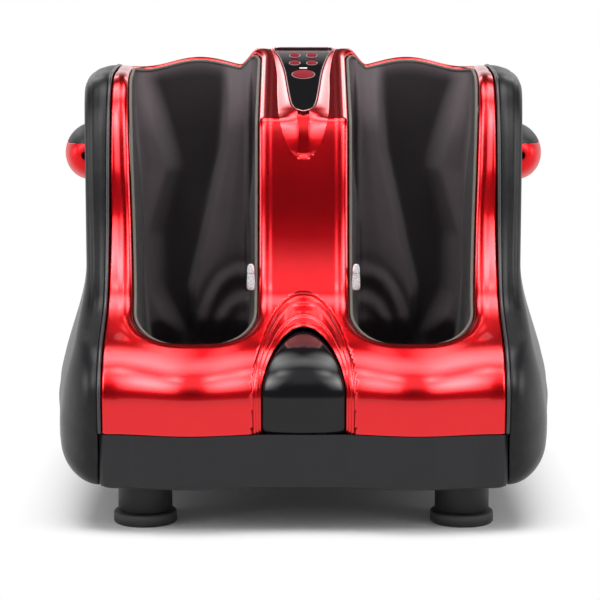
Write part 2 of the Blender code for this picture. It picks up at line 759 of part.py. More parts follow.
def make_side_shell(name, side):
    count = 46
    rows = len(SIDE_ROUNDING_SHARES) + len(SIDE_INNER_SHARES) - 1
    heart = np.array((SIDE_HEART_Y, SIDE_HEART_Z))
    total = SIDE[1][-1]

    def point_at(u, v):
        edge = np.array(along(SIDE, u * total))
        to_heart = heart - edge
        reach = np.linalg.norm(to_heart)
        rounding = SIDE_UPPER_ROUNDING + (SIDE_LOWER_ROUNDING - SIDE_UPPER_ROUNDING) * bulge_share(edge[1])
        row = round(v * rows)
        if row < len(SIDE_ROUNDING_SHARES):
            angle = SIDE_ROUNDING_SHARES[row] * math.pi / 2
            inset, rise = rounding * (1 - math.cos(angle)), math.sin(angle)
        else:
            share = SIDE_INNER_SHARES[row - len(SIDE_ROUNDING_SHARES)]
            inset, rise = rounding + (reach - rounding) * share, 1.0
        y, z = edge + to_heart / reach * inset
        skirt = SIDE_SEAM_X + (SIDE_SKIRT if row else 0)
        x = skirt + (side_x(y, z) - skirt) * rise
        return Vector((side * x, y, z))

    shell = surface(name, count, rows, point_at, "black_leather", inside=(0, SIDE_HEART_Y, SIDE_HEART_Z))
    return thicken(shell, SIDE_WALL)


def make_piping(name, side):
    """A bead along the seam, from the toe's bottom corner over the top to the heel's."""
    front, rear = FRONT[0][::3], REAR[0][2::3]
    line = np.vstack((front, rear, REAR[0][-1:]))
    x = side * (SHELL_HALF_WIDTH + GAP + PIPING_RADIUS)
    heart = np.array((SIDE_HEART_Y, SIDE_HEART_Z))
    inner = [p + (heart - p) / np.linalg.norm(heart - p) * PIPING_RADIUS / 2 for p in line]
    return tube(name, [(x, p[0], p[1]) for p in inner], PIPING_RADIUS, "piping")


# The base tray

def tray_outline():
    """Plan of the tray: a rectangle whose front edge follows the toe boxes."""
    front_y = FRONT[0][0][0]
    rear_y = REAR[0][-1][0]
    corner = TRAY_CORNER
    xs = np.linspace(-TRAY_HALF_WIDTH + corner, TRAY_HALF_WIDTH - corner, 19)
    front = [(x, front_y - toe_swell(x, SPLIT_Z)) for x in xs]
    outline = list(front)
    outline += arc((TRAY_HALF_WIDTH - corner, front[-1][1] + corner), corner, -math.pi / 2, 0, 3)[1:]
    outline += arc((TRAY_HALF_WIDTH - corner, rear_y - corner), corner, 0, math.pi / 2, 3)
    outline += arc((-TRAY_HALF_WIDTH + corner, rear_y - corner), corner, math.pi / 2, math.pi, 3)
    outline += arc((-TRAY_HALF_WIDTH + corner, front[0][1] + corner), corner, math.pi, 3 * math.pi / 2, 3)[:-1]
    return np.array(outline)


def make_base_tray():
    ring = tray_outline()
    levels = [(0.0, SPLIT_Z), (0.0, FLOOR_CLEARANCE + TRAY_ROUNDING)]
    levels += [(TRAY_ROUNDING * (1 - math.cos(a)), FLOOR_CLEARANCE + TRAY_ROUNDING * (1 - math.sin(a)))
               for a in (math.pi / 4, math.pi / 2)]
    rows = len(levels)

    def point_at(u, v):
        edge = ring_point(ring, u)
        reach = np.linalg.norm(edge)
        row = round(v * rows)
        if row == rows:
            return Vector((0, 0, FLOOR_CLEARANCE))
        inset, z = levels[row]
        x, y = edge * (1 - inset / reach)
        return Vector((x, y, z))

    tray = surface("base_tray", len(ring), rows, point_at, "black_plastic", inside=(0, 0, SPLIT_Z))
    thicken(tray, TRAY_WALL)
    blocks, spaces = zip(*(leg_recess(name, side) for name, side in SIDES))
    bore = [cylinder(f"stand_bore_{name}",
                     (side * (LEG_X - RECESS_HALF_WIDTH - RECESS_WALL - OVERRUN), STAND_AXIS_Y, STAND_AXIS_Z),
                     (side * LEG_X, STAND_AXIS_Y, STAND_AXIS_Z), STAND_SHAFT_RADIUS + GAP)
            for name, side in SIDES]
    fuse(tray, *blocks)
    return cut(tray, *spaces, *bore)


def leg_recess(name, side):
    """The block and the space of one leg's recess, open below, long enough for the folded leg."""
    near = LEG_Y - FOOT_RADIUS - GAP
    far = recess_far()
    roof = STAND_AXIS_Z + (LEG_Y - STAND_AXIS_Y) + FOOT_RADIUS + RECESS_ROOM
    low, high = LEG_X - RECESS_HALF_WIDTH, LEG_X + RECESS_HALF_WIDTH
    wall = RECESS_WALL
    low_x, high_x = sorted((side * (low - wall), side * (high + wall)))
    block = box(f"recess_block_{name}", (low_x, near - wall, TRAY_FLOOR_Z - wall),
                (high_x, far + wall, roof + wall))
    low_x, high_x = sorted((side * low, side * high))
    space = box(f"recess_space_{name}", (low_x, near, FLOOR_CLEARANCE - OVERRUN), (high_x, far, roof))
    return block, space


def recess_far():
    return STAND_AXIS_Y + STAND_AXIS_Z + 2 * RECESS_ROOM


def recess_top():
    return STAND_AXIS_Z + (LEG_Y - STAND_AXIS_Y) + FOOT_RADIUS + RECESS_ROOM + RECESS_WALL


# The tilt stand and the rear feet

def empty_at(name, location):
    made = bpy.data.objects.new(name, None)
    made.location = location
    PARTS.objects.link(made)
    return made


def hang(obj, pivot):
    """Puts a finished piece under the empty on its joint's axis, where it stands."""
    obj.parent = pivot
    obj.matrix_parent_inverse = Matrix.Translation(pivot.location).inverted()


def make_stand():
    pivot = empty_at("stand_pivot", (0, STAND_AXIS_Y, STAND_AXIS_Z))
    reach = LEG_X + RECESS_HALF_WIDTH - GAP
    shaft = cylinder("stand_shaft", (-reach, STAND_AXIS_Y, STAND_AXIS_Z), (reach, STAND_AXIS_Y, STAND_AXIS_Z),
                     STAND_SHAFT_RADIUS, "steel", sides=16)
    hang(shaft, pivot)
    for name, side in SIDES:
        x = side * LEG_X
        foot_top = FOOT_HEIGHT + GAP
        boss_low = FLOOR_CLEARANCE - LEG_BOSS_HEIGHT / 2
        leg = cylinder(f"stand_leg_{name}", (x, LEG_Y, foot_top), (x, LEG_Y, boss_low + WELD), LEG_RADIUS,
                       "black_plastic", sides=24)
        boss = cylinder(f"boss_{name}", (x, LEG_Y, boss_low), (x, LEG_Y, LEG_TOP_Z), LEG_RADIUS, sides=24,
                        end_radius=LEG_BOSS_RADIUS)
        hub = cylinder(f"hub_{name}", (x - LEG_BOSS_RADIUS / 2, STAND_AXIS_Y, STAND_AXIS_Z),
                       (x + LEG_BOSS_RADIUS / 2, STAND_AXIS_Y, STAND_AXIS_Z), LEG_HUB_RADIUS)
        bore = cylinder(f"hub_bore_{name}", (x - LEG_BOSS_RADIUS, STAND_AXIS_Y, STAND_AXIS_Z),
                        (x + LEG_BOSS_RADIUS, STAND_AXIS_Y, STAND_AXIS_Z), STAND_SHAFT_RADIUS + GAP)
        cut(fuse(leg, boss, hub), bore)
        hang(leg, pivot)
        foot = cylinder(f"stand_foot_{name}", (x, LEG_Y, 0), (x, LEG_Y, FOOT_HEIGHT), FOOT_RADIUS, "rubber",
                        sides=24)
        hang(foot, pivot)


def make_rear_feet():
    for name, side in SIDES:
        x = side * LEG_X
        flange = cylinder(f"rear_foot_{name}", (x, REAR_FOOT_Y, 0), (x, REAR_FOOT_Y, FOOT_HEIGHT), FOOT_RADIUS,
                          "rubber", sides=24)
        neck = cylinder(f"rear_neck_{name}", (x, REAR_FOOT_Y, FOOT_HEIGHT / 2),
                        (x, REAR_FOOT_Y, FLOOR_CLEARANCE - GAP), LEG_RADIUS, sides=24)
        fuse(flange, neck)


# The liners

def sole_ring():
    corners = [(SOLE_INNER_X, SOLE_TOE_Y), (SOLE_OUTER_X, SOLE_TOE_Y), (SOLE_OUTER_X, SOLE_HEEL_Y),
               (SOLE_INNER_X, SOLE_HEEL_Y)]
    return rounded_quad(corners, (SOLE_TOE_RADIUS, SOLE_TOE_RADIUS, SOLE_HEEL_RADIUS, SOLE_HEEL_RADIUS))


LINER_DROP_SHARES = (0.0, 0.08, 0.18, 0.3, 0.43, 0.56, 0.69, 0.82, 0.93, 1.0)
LINER_SOLE_SHARES = (0.45, 1.0)
FOLD_COUNT = 5
FOLD_LEAN_SHARE = 0.9


def sole_middle():
    floor_z = recess_top() + FOOTBED_THICKNESS + 2 * GAP
    return Vector(((SOLE_INNER_X + SOLE_OUTER_X) / 2, (SOLE_TOE_Y + SOLE_HEEL_Y) / 2, floor_z))


def liner_wall(u, t):
    """A point of the right liner's wall: a cubic curve from the rim, t = 0, to the sole, t = 1, in folds."""
    middle = sole_middle()
    x, length = ring_point(well_ring(LINER_CLEARANCE), u)
    top = front_point(x, length)
    tucked = top - front_normal(x, length) * LINER_TUCK
    sole_x, sole_y = ring_point(sole_ring(), u)
    bottom = Vector((sole_x, sole_y, middle.z))
    above = bottom + Vector((0, 0, LINER_EASE))
    point = top * (1 - t) ** 3 + tucked * 3 * t * (1 - t) ** 2 + above * 3 * t * t * (1 - t) + bottom * t ** 3
    inward = Vector((middle.x - point.x, middle.y - point.y, 0))
    wave = 0.5 - 0.5 * math.cos(2 * math.pi * (FOLD_COUNT * u + FOLD_LEAN_SHARE * t))
    return point + inward.normalized() * LINER_FOLD * wave * math.sin(math.pi * t) ** 1.5


def make_liner(name, side):
    """Hanging cloth from the well's rim to the sole, then flat over the footbed."""
    rows = len(LINER_DROP_SHARES) + len(LINER_SOLE_SHARES) - 1
    middle = sole_middle()

    def point_at(u, v):
        row = round(v * rows)
        if row < len(LINER_DROP_SHARES):
            point = liner_wall(u, LINER_DROP_SHARES[row])
        else:
            point = liner_wall(u, 1.0).lerp(middle, LINER_SOLE_SHARES[row - len(LINER_DROP_SHARES)])
        return Vector((side * point.x, point.y, point.z))

    liner = surface(name, RIM_COUNT, rows, point_at, "fabric", inside=(side * middle.x, middle.y, SIDE_HEART_Z))
    return thicken(liner, LINER_WALL)


def make_zip_pull(name, side):
    """The pull hangs flat on the liner's inner wall, in line with the zip that it slides along."""
    spot = liner_wall(ZIP_PLACE_SHARE, ZIP_DROP_SHARE)
    start = along(FRONT, ZIP_START_LENGTH)
    end = along(FRONT, ZIP_START_LENGTH + ZIP_TRAVEL)
    lean = math.atan2(end[0] - start[0], end[1] - start[1])
    x = spot.x + LINER_WALL + ZIP_CLEARANCE
    low_x, high_x = sorted((side * x, side * (x + ZIP_PULL_THICKNESS)))
    half = Vector((0, ZIP_PULL_WIDTH / 2, ZIP_PULL_LENGTH / 2))
    middle = Vector((0, spot.y, spot.z))
    low, high = middle - half, middle + half
    return box(name, (low_x, low.y, low.z), (high_x, high.y, high.z), "zip_metal",
               turn=Matrix.Rotation(-lean, 4, "X"))


# The console

def console_frame(height):
    """Frame of the panel's plane, x across and y up the slope, at a height above the plane."""
    cos, sin = math.cos(PANEL_SLOPE), math.sin(PANEL_SLOPE)
    turn = Matrix(((1, 0, 0, 0), (0, cos, -sin, 0), (0, sin, cos, 0), (0, 0, 0, 1)))
    return Matrix.Translation((0, PANEL_TIP_Y, PANEL_TIP_Z)) @ turn @ Matrix.Translation((0, 0, height))


def panel_outline(offset):
    """The V of the panel, grown by an offset along its own normal."""
    half = [(w * PANEL_HALF_WIDTH, t * PANEL_LENGTH) for w, t in zip(PANEL_WIDTH_SHARES, PANEL_LENGTH_SHARES)]
    ring = np.array(half + [(-x, y) for x, y in half[:0:-1]])
    before, after = np.roll(ring, 1, axis=0), np.roll(ring, -1, axis=0)
    tangents = (after - ring) / np.linalg.norm(after - ring, axis=1)[:, None]
    tangents += (ring - before) / np.linalg.norm(ring - before, axis=1)[:, None]
    normals = np.stack((tangents[:, 1], -tangents[:, 0]), axis=1)
    normals /= np.linalg.norm(normals, axis=1)[:, None]
    return ring + normals * offset


def make_surround():
    outer, inner = panel_outline(SURROUND_WALL + GAP), panel_outline(GAP)
    frame = console_frame(0)

    def point_at(u, v):
        k = round(v * 4) % 4
        x, length = ring_point(outer if k in (0, 1) else inner, u)
        height = SURROUND_PROUD if k in (1, 2) else -SURROUND_DEPTH
        return frame @ Vector((x, length, height))

    return surface("console_surround", len(outer), 4, point_at, "red_gloss", solid=True)


def button_places():
    low, high = LOW_ROW_PLACE_SHARE * PANEL_LENGTH, HIGH_ROW_PLACE_SHARE * PANEL_LENGTH
    return {"power_button": (0.0, POWER_BUTTON_PLACE_SHARE * PANEL_LENGTH, POWER_BUTTON_RADIUS),
            "foot_button": (-SMALL_BUTTON_X, low, SMALL_BUTTON_RADIUS),
            "calf_button": (SMALL_BUTTON_X, low, SMALL_BUTTON_RADIUS),
            "mode_button": (-SMALL_BUTTON_X, high, SMALL_BUTTON_RADIUS),
            "speed_button": (SMALL_BUTTON_X, high, SMALL_BUTTON_RADIUS)}


def led_outline(clearance):
    length, width = LED_LENGTH / 2 + clearance, LED_WIDTH / 2 + clearance
    middle = LED_PLACE_SHARE * PANEL_LENGTH
    return [(-length, middle - width), (length, middle - width),
            (length, middle + width), (-length, middle + width)]


def make_console():
    make_surround()
    holes = [circle((x, y), radius + GAP, 20 if radius == POWER_BUTTON_RADIUS else 14)
             for x, y, radius in button_places().values()]
    holes.append(led_outline(GAP))
    plate("control_panel", [tuple(p) for p in panel_outline(0)], PANEL_THICKNESS,
          console_frame(-PANEL_THICKNESS / 2), "black_gloss", holes)
    plate("led_window", led_outline(0), PANEL_THICKNESS, console_frame(-PANEL_THICKNESS / 2), "led")
    for name, (x, y, radius) in button_places().items():
        make_button(name, x, y, radius)
    board = plate("switch_board", [tuple(p) for p in panel_outline(-SURROUND_WALL)], BOARD_THICKNESS,
                  console_frame(-SWITCH_BOARD_DROP - BOARD_THICKNESS / 2), "circuit_board")
    frame = console_frame(0)
    posts = []
    for k, (x_share, share) in enumerate(BOARD_POST_SHARES):
        foot = Vector((x_share * PANEL_HALF_WIDTH, share * PANEL_LENGTH, 0))
        low = frame @ (foot - Vector((0, 0, SWITCH_BOARD_DROP + BOARD_THICKNESS / 2)))
        high = frame @ (foot - Vector((0, 0, PANEL_THICKNESS + GAP)))
        posts.append(cylinder(f"board_post_{k}", low, high, BOARD_POST_RADIUS, sides=8))
    fuse(board, *posts)


def make_button(name, x, y, radius):
    """A cap that passes through the panel, with a flange below it that keeps it in."""
    sides = 20 if radius == POWER_BUTTON_RADIUS else 14
    frame = console_frame(0)
    flange_top = -PANEL_THICKNESS - GAP
    pivot = empty_at(f"{name}_guide", frame @ Vector((x, y, 0)))
    cap = cylinder(name, frame @ Vector((x, y, -BUTTON_STEM)), frame @ Vector((x, y, BUTTON_PROUD)), radius,
                   "red_button", sides=sides)
    flange = cylinder(f"{name}_flange", frame @ Vector((x, y, flange_top - BUTTON_FLANGE_THICKNESS)),
                      frame @ Vector((x, y, flange_top)), radius + BUTTON_FLANGE, sides=sides)
    fuse(cap, flange)
    hang(cap, pivot)


def console_cutter():
    outline = [tuple(p) for p in panel_outline(SURROUND_WALL + 2 * GAP)]
    return plate("console_hole", outline, 2 * SURROUND_DEPTH, console_frame(0))


# The carrying handles

def handle_point(side, u, angle):
    """A dome on the side: along the body by u, round from its underside to its top by an angle."""
    along_body = math.cos(u * math.pi)
    fullness = math.sin(u * math.pi) ** HANDLE_FULLNESS_SHARE
    y = HANDLE_Y - HANDLE_HALF_LENGTH * along_body
    z = HANDLE_Z + HANDLE_HALF_HEIGHT * fullness * math.sin(angle)
    x = SIDE_UPPER_X - HANDLE_SINK + (HANDLE_REACH + HANDLE_SINK) * fullness * math.cos(angle)
    return Vector((side * x, y, z))


def make_handle(name, side):
    """A black grip over a red cover, both parts of one dome, parted on a level plane."""
    ends = HANDLE_END_SHARE

    def point_at(u, v):
        return handle_point(side, ends + (1 - 2 * ends) * u, (v - 0.5) * math.pi)

    far = BODY_WIDTH
    low_x, high_x = sorted((side * (SIDE_UPPER_X + GAP), side * far))
    for part, low_z, high_z, finish in (("grip", HANDLE_SPLIT_Z + GAP / 2, far, "black_plastic"),
                                        ("cover", 0, HANDLE_SPLIT_Z - GAP / 2, "red_gloss")):
        piece = surface(f"handle_{part}_{name}", 11, 6, point_at, finish, closed=False,
                        inside=(0, HANDLE_Y, HANDLE_Z))
        thicken(piece, HANDLE_WALL)
        keep_within(piece, box(f"{part}_side_{name}", (low_x, -far, low_z), (high_x, far, high_z)))
        if part == "cover":
            cut(piece, finger_slot(name, side))


def finger_slot(name, side):
    inner = upper_side_x(HANDLE_Y) - OVERRUN
    low_x, high_x = sorted((side * inner, side * (inner + OVERRUN + FINGER_SLOT_WIDTH)))
    low = (low_x, HANDLE_Y - FINGER_SLOT_LENGTH / 2, HANDLE_Z - 2 * HANDLE_HALF_HEIGHT)
    high = (high_x, HANDLE_Y + FINGER_SLOT_LENGTH / 2, HANDLE_Z - HANDLE_HALF_HEIGHT / 2)
    return box(f"finger_slot_{name}", low, high)


# Worm gears

def wheel_outline(teeth, radius):
    """Straight teeth, with a gap centred on the +Y direction where the worm meets the wheel."""
    pitch = 2 * math.pi / teeth
    points = []
    for k in range(teeth):
        middle = (k + 0.5) * pitch
        for share, reach in ((-TOOTH_ROOT_SHARE, -TOOTH_DEPTH), (-TOOTH_TIP_SHARE, TOOTH_HEIGHT),
                             (TOOTH_TIP_SHARE, TOOTH_HEIGHT), (TOOTH_ROOT_SHARE, -TOOTH_DEPTH)):
            angle = middle + share * pitch / 2
            points.append(((radius + reach) * math.cos(angle), (radius + reach) * math.sin(angle)))
    return points


def side_plane(x, y, z):
    """Frame of a plate that stands across X: its own x runs along Y and its own y runs up."""
    return Matrix(((0, 0, 1, x), (1, 0, 0, y), (0, 1, 0, z), (0, 0, 0, 1)))


def make_wheel(name, teeth, radius, shaft_radius, centre, turn):
    """A worm wheel on an X shaft. The turn brings the tooth gap to the worm's side."""
    hole = circle((0, 0), shaft_radius + GAP, 14)
    frame = side_plane(*centre) @ Matrix.Rotation(turn, 4, "Z")
    return plate(name, wheel_outline(teeth, radius), WHEEL_WIDTH, frame, "gear_plastic", [hole])


def worm_radius(turns):
    """Radius of the thread's section, by how far a point is from the ridge, in turns."""
    away = abs((turns + 0.5) % 1.0 - 0.5) * 2
    flank = (away - THREAD_TIP_SHARE) / (THREAD_ROOT_SHARE - THREAD_TIP_SHARE)
    return WORM_THREAD_RADIUS + (WORM_CORE_RADIUS - WORM_THREAD_RADIUS) * min(max(flank, 0.0), 1.0)


def make_worm(name, lead, frame, ridge_angle, low_stub, high_stub):
    """A right-hand worm along its frame's Z, its ridge at the middle on the side of ridge_angle."""
    threads = int(WORM_TURNS * WORM_ROWS_PER_TURN)
    half = WORM_TURNS * lead / 2
    rows = [(-half - low_stub, 0.0), (-half - low_stub, WORM_STUB_RADIUS), (-half, WORM_STUB_RADIUS)]
    rows += [(-half + 2 * half * k / threads, None) for k in range(threads + 1)]
    rows += [(half, WORM_STUB_RADIUS), (half + high_stub, WORM_STUB_RADIUS), (half + high_stub, 0.0)]

    def point_at(u, v):
        height, radius = rows[round(v * (len(rows) - 1))]
        angle = u * 2 * math.pi
        if radius is None:
            radius = worm_radius(height / lead - (angle - ridge_angle) / (2 * math.pi))
        return frame @ Vector((radius * math.cos(angle), radius * math.sin(angle), height))

    return surface(name, WORM_SIDES, len(rows) - 1, point_at, "steel", solid=True)


def worm_distance(radius):
    """From a wheel's axis to its worm's: both pitch radii, so that tips and roots clear."""
    return radius + (WORM_CORE_RADIUS + WORM_THREAD_RADIUS) / 2 + GAP


def wheel_lead(teeth, radius):
    return 2 * math.pi * radius / teeth


# The calf drive

def make_calf_drive():
    pivot = empty_at("calf_shaft_axis", (0, CALF_SHAFT_Y, CALF_SHAFT_Z))
    half = CALF_SHAFT_HALF_LENGTH
    shaft = cylinder("calf_camshaft", (-half, CALF_SHAFT_Y, CALF_SHAFT_Z), (half, CALF_SHAFT_Y, CALF_SHAFT_Z),
                     CALF_SHAFT_RADIUS, "steel", sides=14)
    cams = []
    for k, x in enumerate((-ARM_OUTER_X, -ARM_INNER_X, ARM_INNER_X, ARM_OUTER_X)):
        y = CALF_SHAFT_Y + CAM_OFFSET * (-1) ** k
        start, end = (x - CAM_WIDTH / 2, y, CALF_SHAFT_Z), (x + CAM_WIDTH / 2, y, CALF_SHAFT_Z)
        cams.append(cylinder(f"cam_{k}", start, end, CAM_RADIUS, sides=14))
    fuse(shaft, *cams)
    hang(shaft, pivot)
    wheel = make_wheel("calf_worm_wheel", CALF_TEETH, CALF_WHEEL_RADIUS, CALF_SHAFT_RADIUS,
                       (0, CALF_SHAFT_Y, CALF_SHAFT_Z), 0)
    hang(wheel, pivot)
    worm_y = CALF_SHAFT_Y + worm_distance(CALF_WHEEL_RADIUS)
    worm_axis = empty_at("calf_worm_axis", (0, worm_y, CALF_SHAFT_Z))
    lead = wheel_lead(CALF_TEETH, CALF_WHEEL_RADIUS)
    motor_top = GEAR_PLATE_Z - FRAME_PLATE - GAP
    stub = CALF_SHAFT_Z - WORM_TURNS * lead / 2 - motor_top + WORM_SOCKET
    worm = make_worm("calf_worm", lead, Matrix.Translation(worm_axis.location), -math.pi / 2, stub, WORM_TAIL)
    hang(worm, worm_axis)
    make_calf_motor(worm_y, motor_top)
    make_gearbox_plate(worm_y)
    make_arms()


def make_calf_motor(worm_y, top):
    motor = cylinder("calf_motor", (0, worm_y, top - CALF_MOTOR_LENGTH), (0, worm_y, top), CALF_MOTOR_RADIUS,
                     "steel", sides=24)
    socket = cylinder("calf_motor_socket", (0, worm_y, top - WORM_SOCKET - GAP), (0, worm_y, top + OVERRUN),
                      WORM_STUB_RADIUS + GAP, sides=WORM_SIDES)
    return cut(motor, socket)


def make_gearbox_plate(worm_y):
    """The plate between the inner posts, which the calf motor hangs from."""
    half = INNER_POST_X - FRAME_POST / 2 - GAP
    plate_box = box("gearbox_plate", (-half, ARM_PIVOT_Y + ARM_RING_RADIUS, GEAR_PLATE_Z - FRAME_PLATE),
                    (half, worm_y + CALF_MOTOR_RADIUS, GEAR_PLATE_Z), "black_plastic")
    low, high = (0, worm_y, GEAR_PLATE_Z - 2 * FRAME_PLATE), (0, worm_y, GEAR_PLATE_Z + FRAME_PLATE)
    return cut(plate_box, cylinder("gearbox_bore", low, high, WORM_STUB_RADIUS + 2 * GAP, sides=16))


def arm_outline():
    """Bell-crank outline about the pivot: hub, ring round the cam, and the blade beside the calf."""
    cam = (CALF_SHAFT_Y - ARM_PIVOT_Y, CALF_SHAFT_Z - ARM_PIVOT_Z)
    corner = ARM_BLADE_RADIUS
    front = corner - ARM_REACH
    top, bottom = ARM_BLADE_TOP - corner, ARM_BLADE_BOTTOM + corner
    outline = arc((0, 0), ARM_HUB_RADIUS, -math.pi, 0, 6)
    outline += arc(cam, ARM_RING_RADIUS, -math.pi / 2, ARM_RING_END, 9)
    outline += arc((front, top), corner, math.pi / 2, math.pi, 4)
    outline += arc((front, bottom), corner, math.pi, 1.5 * math.pi, 4)
    return outline


def make_arms():
    cam = (CALF_SHAFT_Y - ARM_PIVOT_Y, CALF_SHAFT_Z - ARM_PIVOT_Z)
    holes = [circle((0, 0), PIVOT_ROD_RADIUS + GAP, 10), circle(cam, ARM_WINDOW_RADIUS, 18)]
    rod_half = ARM_OUTER_X + ARM_THICKNESS
    cylinder("arm_pivot_rod", (-rod_half, ARM_PIVOT_Y, ARM_PIVOT_Z), (rod_half, ARM_PIVOT_Y, ARM_PIVOT_Z),
             PIVOT_ROD_RADIUS, "steel", sides=12)
    blade_mid = (ARM_BLADE_TOP + ARM_BLADE_BOTTOM) / 2
    for name, side in SIDES:
        for place_name, x, facing in (("inner", ARM_INNER_X, 1), ("outer", ARM_OUTER_X, -1)):
            pivot = empty_at(f"{name}_{place_name}_arm_pivot", (side * x, ARM_PIVOT_Y, ARM_PIVOT_Z))
            arm = plate(f"kneading_arm_{name}_{place_name}", arm_outline(), ARM_THICKNESS,
                        side_plane(side * x, ARM_PIVOT_Y, ARM_PIVOT_Z), "black_plastic", holes)
            for k, share in enumerate(NODULE_SHARES):
                nodule = ball(f"nodule_{name}_{place_name}_{k}",
                              (side * (x + facing * ARM_THICKNESS / 3), ARM_PIVOT_Y - share * ARM_REACH,
                               ARM_PIVOT_Z + blade_mid), NODULE_RADIUS)
                fuse(arm, nodule)
            hang(arm, pivot)


def make_drive_frame():
    floor = TRAY_FLOOR_Z + GAP
    half = OUTER_POST_X + FRAME_POST
    base = box("drive_frame", (-half, POST_FRONT_Y - FRAME_PLATE, floor),
               (half, POST_REAR_Y, floor + FRAME_PLATE), "black_plastic")
    posts, bores = [], []
    for k, x in enumerate((-OUTER_POST_X, -INNER_POST_X, INNER_POST_X, OUTER_POST_X)):
        posts.append(box(f"post_{k}", (x - FRAME_POST / 2, POST_FRONT_Y, floor + FRAME_PLATE / 2),
                         (x + FRAME_POST / 2, POST_REAR_Y, POST_TOP_Z)))
    half += OVERRUN
    for name, y, z, radius in (("shaft_bore", CALF_SHAFT_Y, CALF_SHAFT_Z, CALF_SHAFT_RADIUS),
                               ("rod_bore", ARM_PIVOT_Y, ARM_PIVOT_Z, PIVOT_ROD_RADIUS)):
        bores.append(cylinder(name, (-half, y, z), (half, y, z), radius + GAP, sides=16))
    return cut(fuse(base, *posts), *bores)


# The sole drive

def make_sole_drive():
    axis = (0, SOLE_SHAFT_Y, SOLE_SHAFT_Z)
    pivot = empty_at("sole_shaft_axis", axis)
    half = SOLE_SHAFT_HALF_LENGTH
    shaft = cylinder("sole_shaft", (-half, *axis[1:]), (half, *axis[1:]), SOLE_SHAFT_RADIUS, "steel", sides=12)
    hang(shaft, pivot)
    wheel = make_wheel("sole_worm_wheel", SOLE_TEETH, SOLE_WHEEL_RADIUS, SOLE_SHAFT_RADIUS, axis, math.pi / 2)
    hang(wheel, pivot)
    for name, side in SIDES:
        roller = plate(f"kneading_roller_{name}", roller_outline(), ROLLER_WIDTH,
                       side_plane(side * ROLLER_X, *axis[1:]), "gear_plastic",
                       [circle((0, 0), SOLE_SHAFT_RADIUS + GAP, 12)])
        hang(roller, pivot)
    worm_z = SOLE_SHAFT_Z + worm_distance(SOLE_WHEEL_RADIUS)
    worm_axis = empty_at("sole_worm_axis", (0, SOLE_SHAFT_Y, worm_z))
    lead = wheel_lead(SOLE_TEETH, SOLE_WHEEL_RADIUS)
    lie = Matrix(((1, 0, 0, 0), (0, 0, 1, 0), (0, -1, 0, 0), (0, 0, 0, 1)))
    plate_front = SOLE_SHAFT_Y + SOLE_WHEEL_RADIUS + TOOTH_HEIGHT + WHEEL_CLEARANCE
    motor_front = plate_front + FRAME_PLATE + GAP
    stub = motor_front - SOLE_SHAFT_Y - WORM_TURNS * lead / 2 + WORM_SOCKET
    frame = Matrix.Translation(worm_axis.location) @ lie
    worm = make_worm("sole_worm", lead, frame, math.pi / 2, WORM_TAIL, stub)
    hang(worm, worm_axis)
    make_sole_frame(plate_front, worm_z)
    make_sole_motor(motor_front, worm_z)


def roller_outline():
    """Three kneading lobes round a core."""
    points = []
    for k in range(3):
        middle = 2 * math.pi * k / 3
        centre = (ROLLER_CORE_RADIUS * math.cos(middle), ROLLER_CORE_RADIUS * math.sin(middle))
        points += arc(centre, ROLLER_LOBE_RADIUS, middle - math.pi / 2, middle + math.pi / 2, 6)
        between = middle + math.pi / 3
        points.append(((ROLLER_CORE_RADIUS - ROLLER_LOBE_RADIUS) * math.cos(between),
                       (ROLLER_CORE_RADIUS - ROLLER_LOBE_RADIUS) * math.sin(between)))
    return points


def make_sole_frame(plate_front, worm_z):
    floor = TRAY_FLOOR_Z + GAP
    half = SOLE_POST_X + FRAME_POST / 2
    deep = SOLE_POST_HALF_DEPTH
    rear = plate_front + FRAME_PLATE
    base = box("sole_frame", (-half, SOLE_SHAFT_Y - deep, floor), (half, rear, floor + FRAME_PLATE),
               "black_plastic")
    parts = [box(f"sole_post_{k}", (x - FRAME_POST / 2, SOLE_SHAFT_Y - deep, floor + FRAME_PLATE / 2),
                 (x + FRAME_POST / 2, SOLE_SHAFT_Y + deep, SOLE_SHAFT_Z + deep))
             for k, x in enumerate((-SOLE_POST_X, SOLE_POST_X))]
    parts.append(box("sole_motor_plate", (-SOLE_MOTOR_RADIUS, plate_front, floor + FRAME_PLATE / 2),
                     (SOLE_MOTOR_RADIUS, rear, worm_z + SOLE_MOTOR_RADIUS)))
    bores = [cylinder("sole_shaft_bore", (-half - OVERRUN, SOLE_SHAFT_Y, SOLE_SHAFT_Z),
                      (half + OVERRUN, SOLE_SHAFT_Y, SOLE_SHAFT_Z), SOLE_SHAFT_RADIUS + GAP, sides=14),
             cylinder("sole_worm_bore", (0, plate_front - OVERRUN, worm_z), (0, rear + OVERRUN, worm_z),
                      WORM_STUB_RADIUS + 2 * GAP, sides=16)]
    return cut(fuse(base, *parts), *bores)


def make_sole_motor(front, worm_z):
    motor = cylinder("sole_motor", (0, front, worm_z), (0, front + SOLE_MOTOR_LENGTH, worm_z),
                     SOLE_MOTOR_RADIUS, "steel", sides=24)
    socket = cylinder("sole_motor_socket", (0, front - OVERRUN, worm_z), (0, front + WORM_SOCKET + GAP, worm_z),
                      WORM_STUB_RADIUS + GAP, sides=WORM_SIDES)
    return cut(motor, socket)


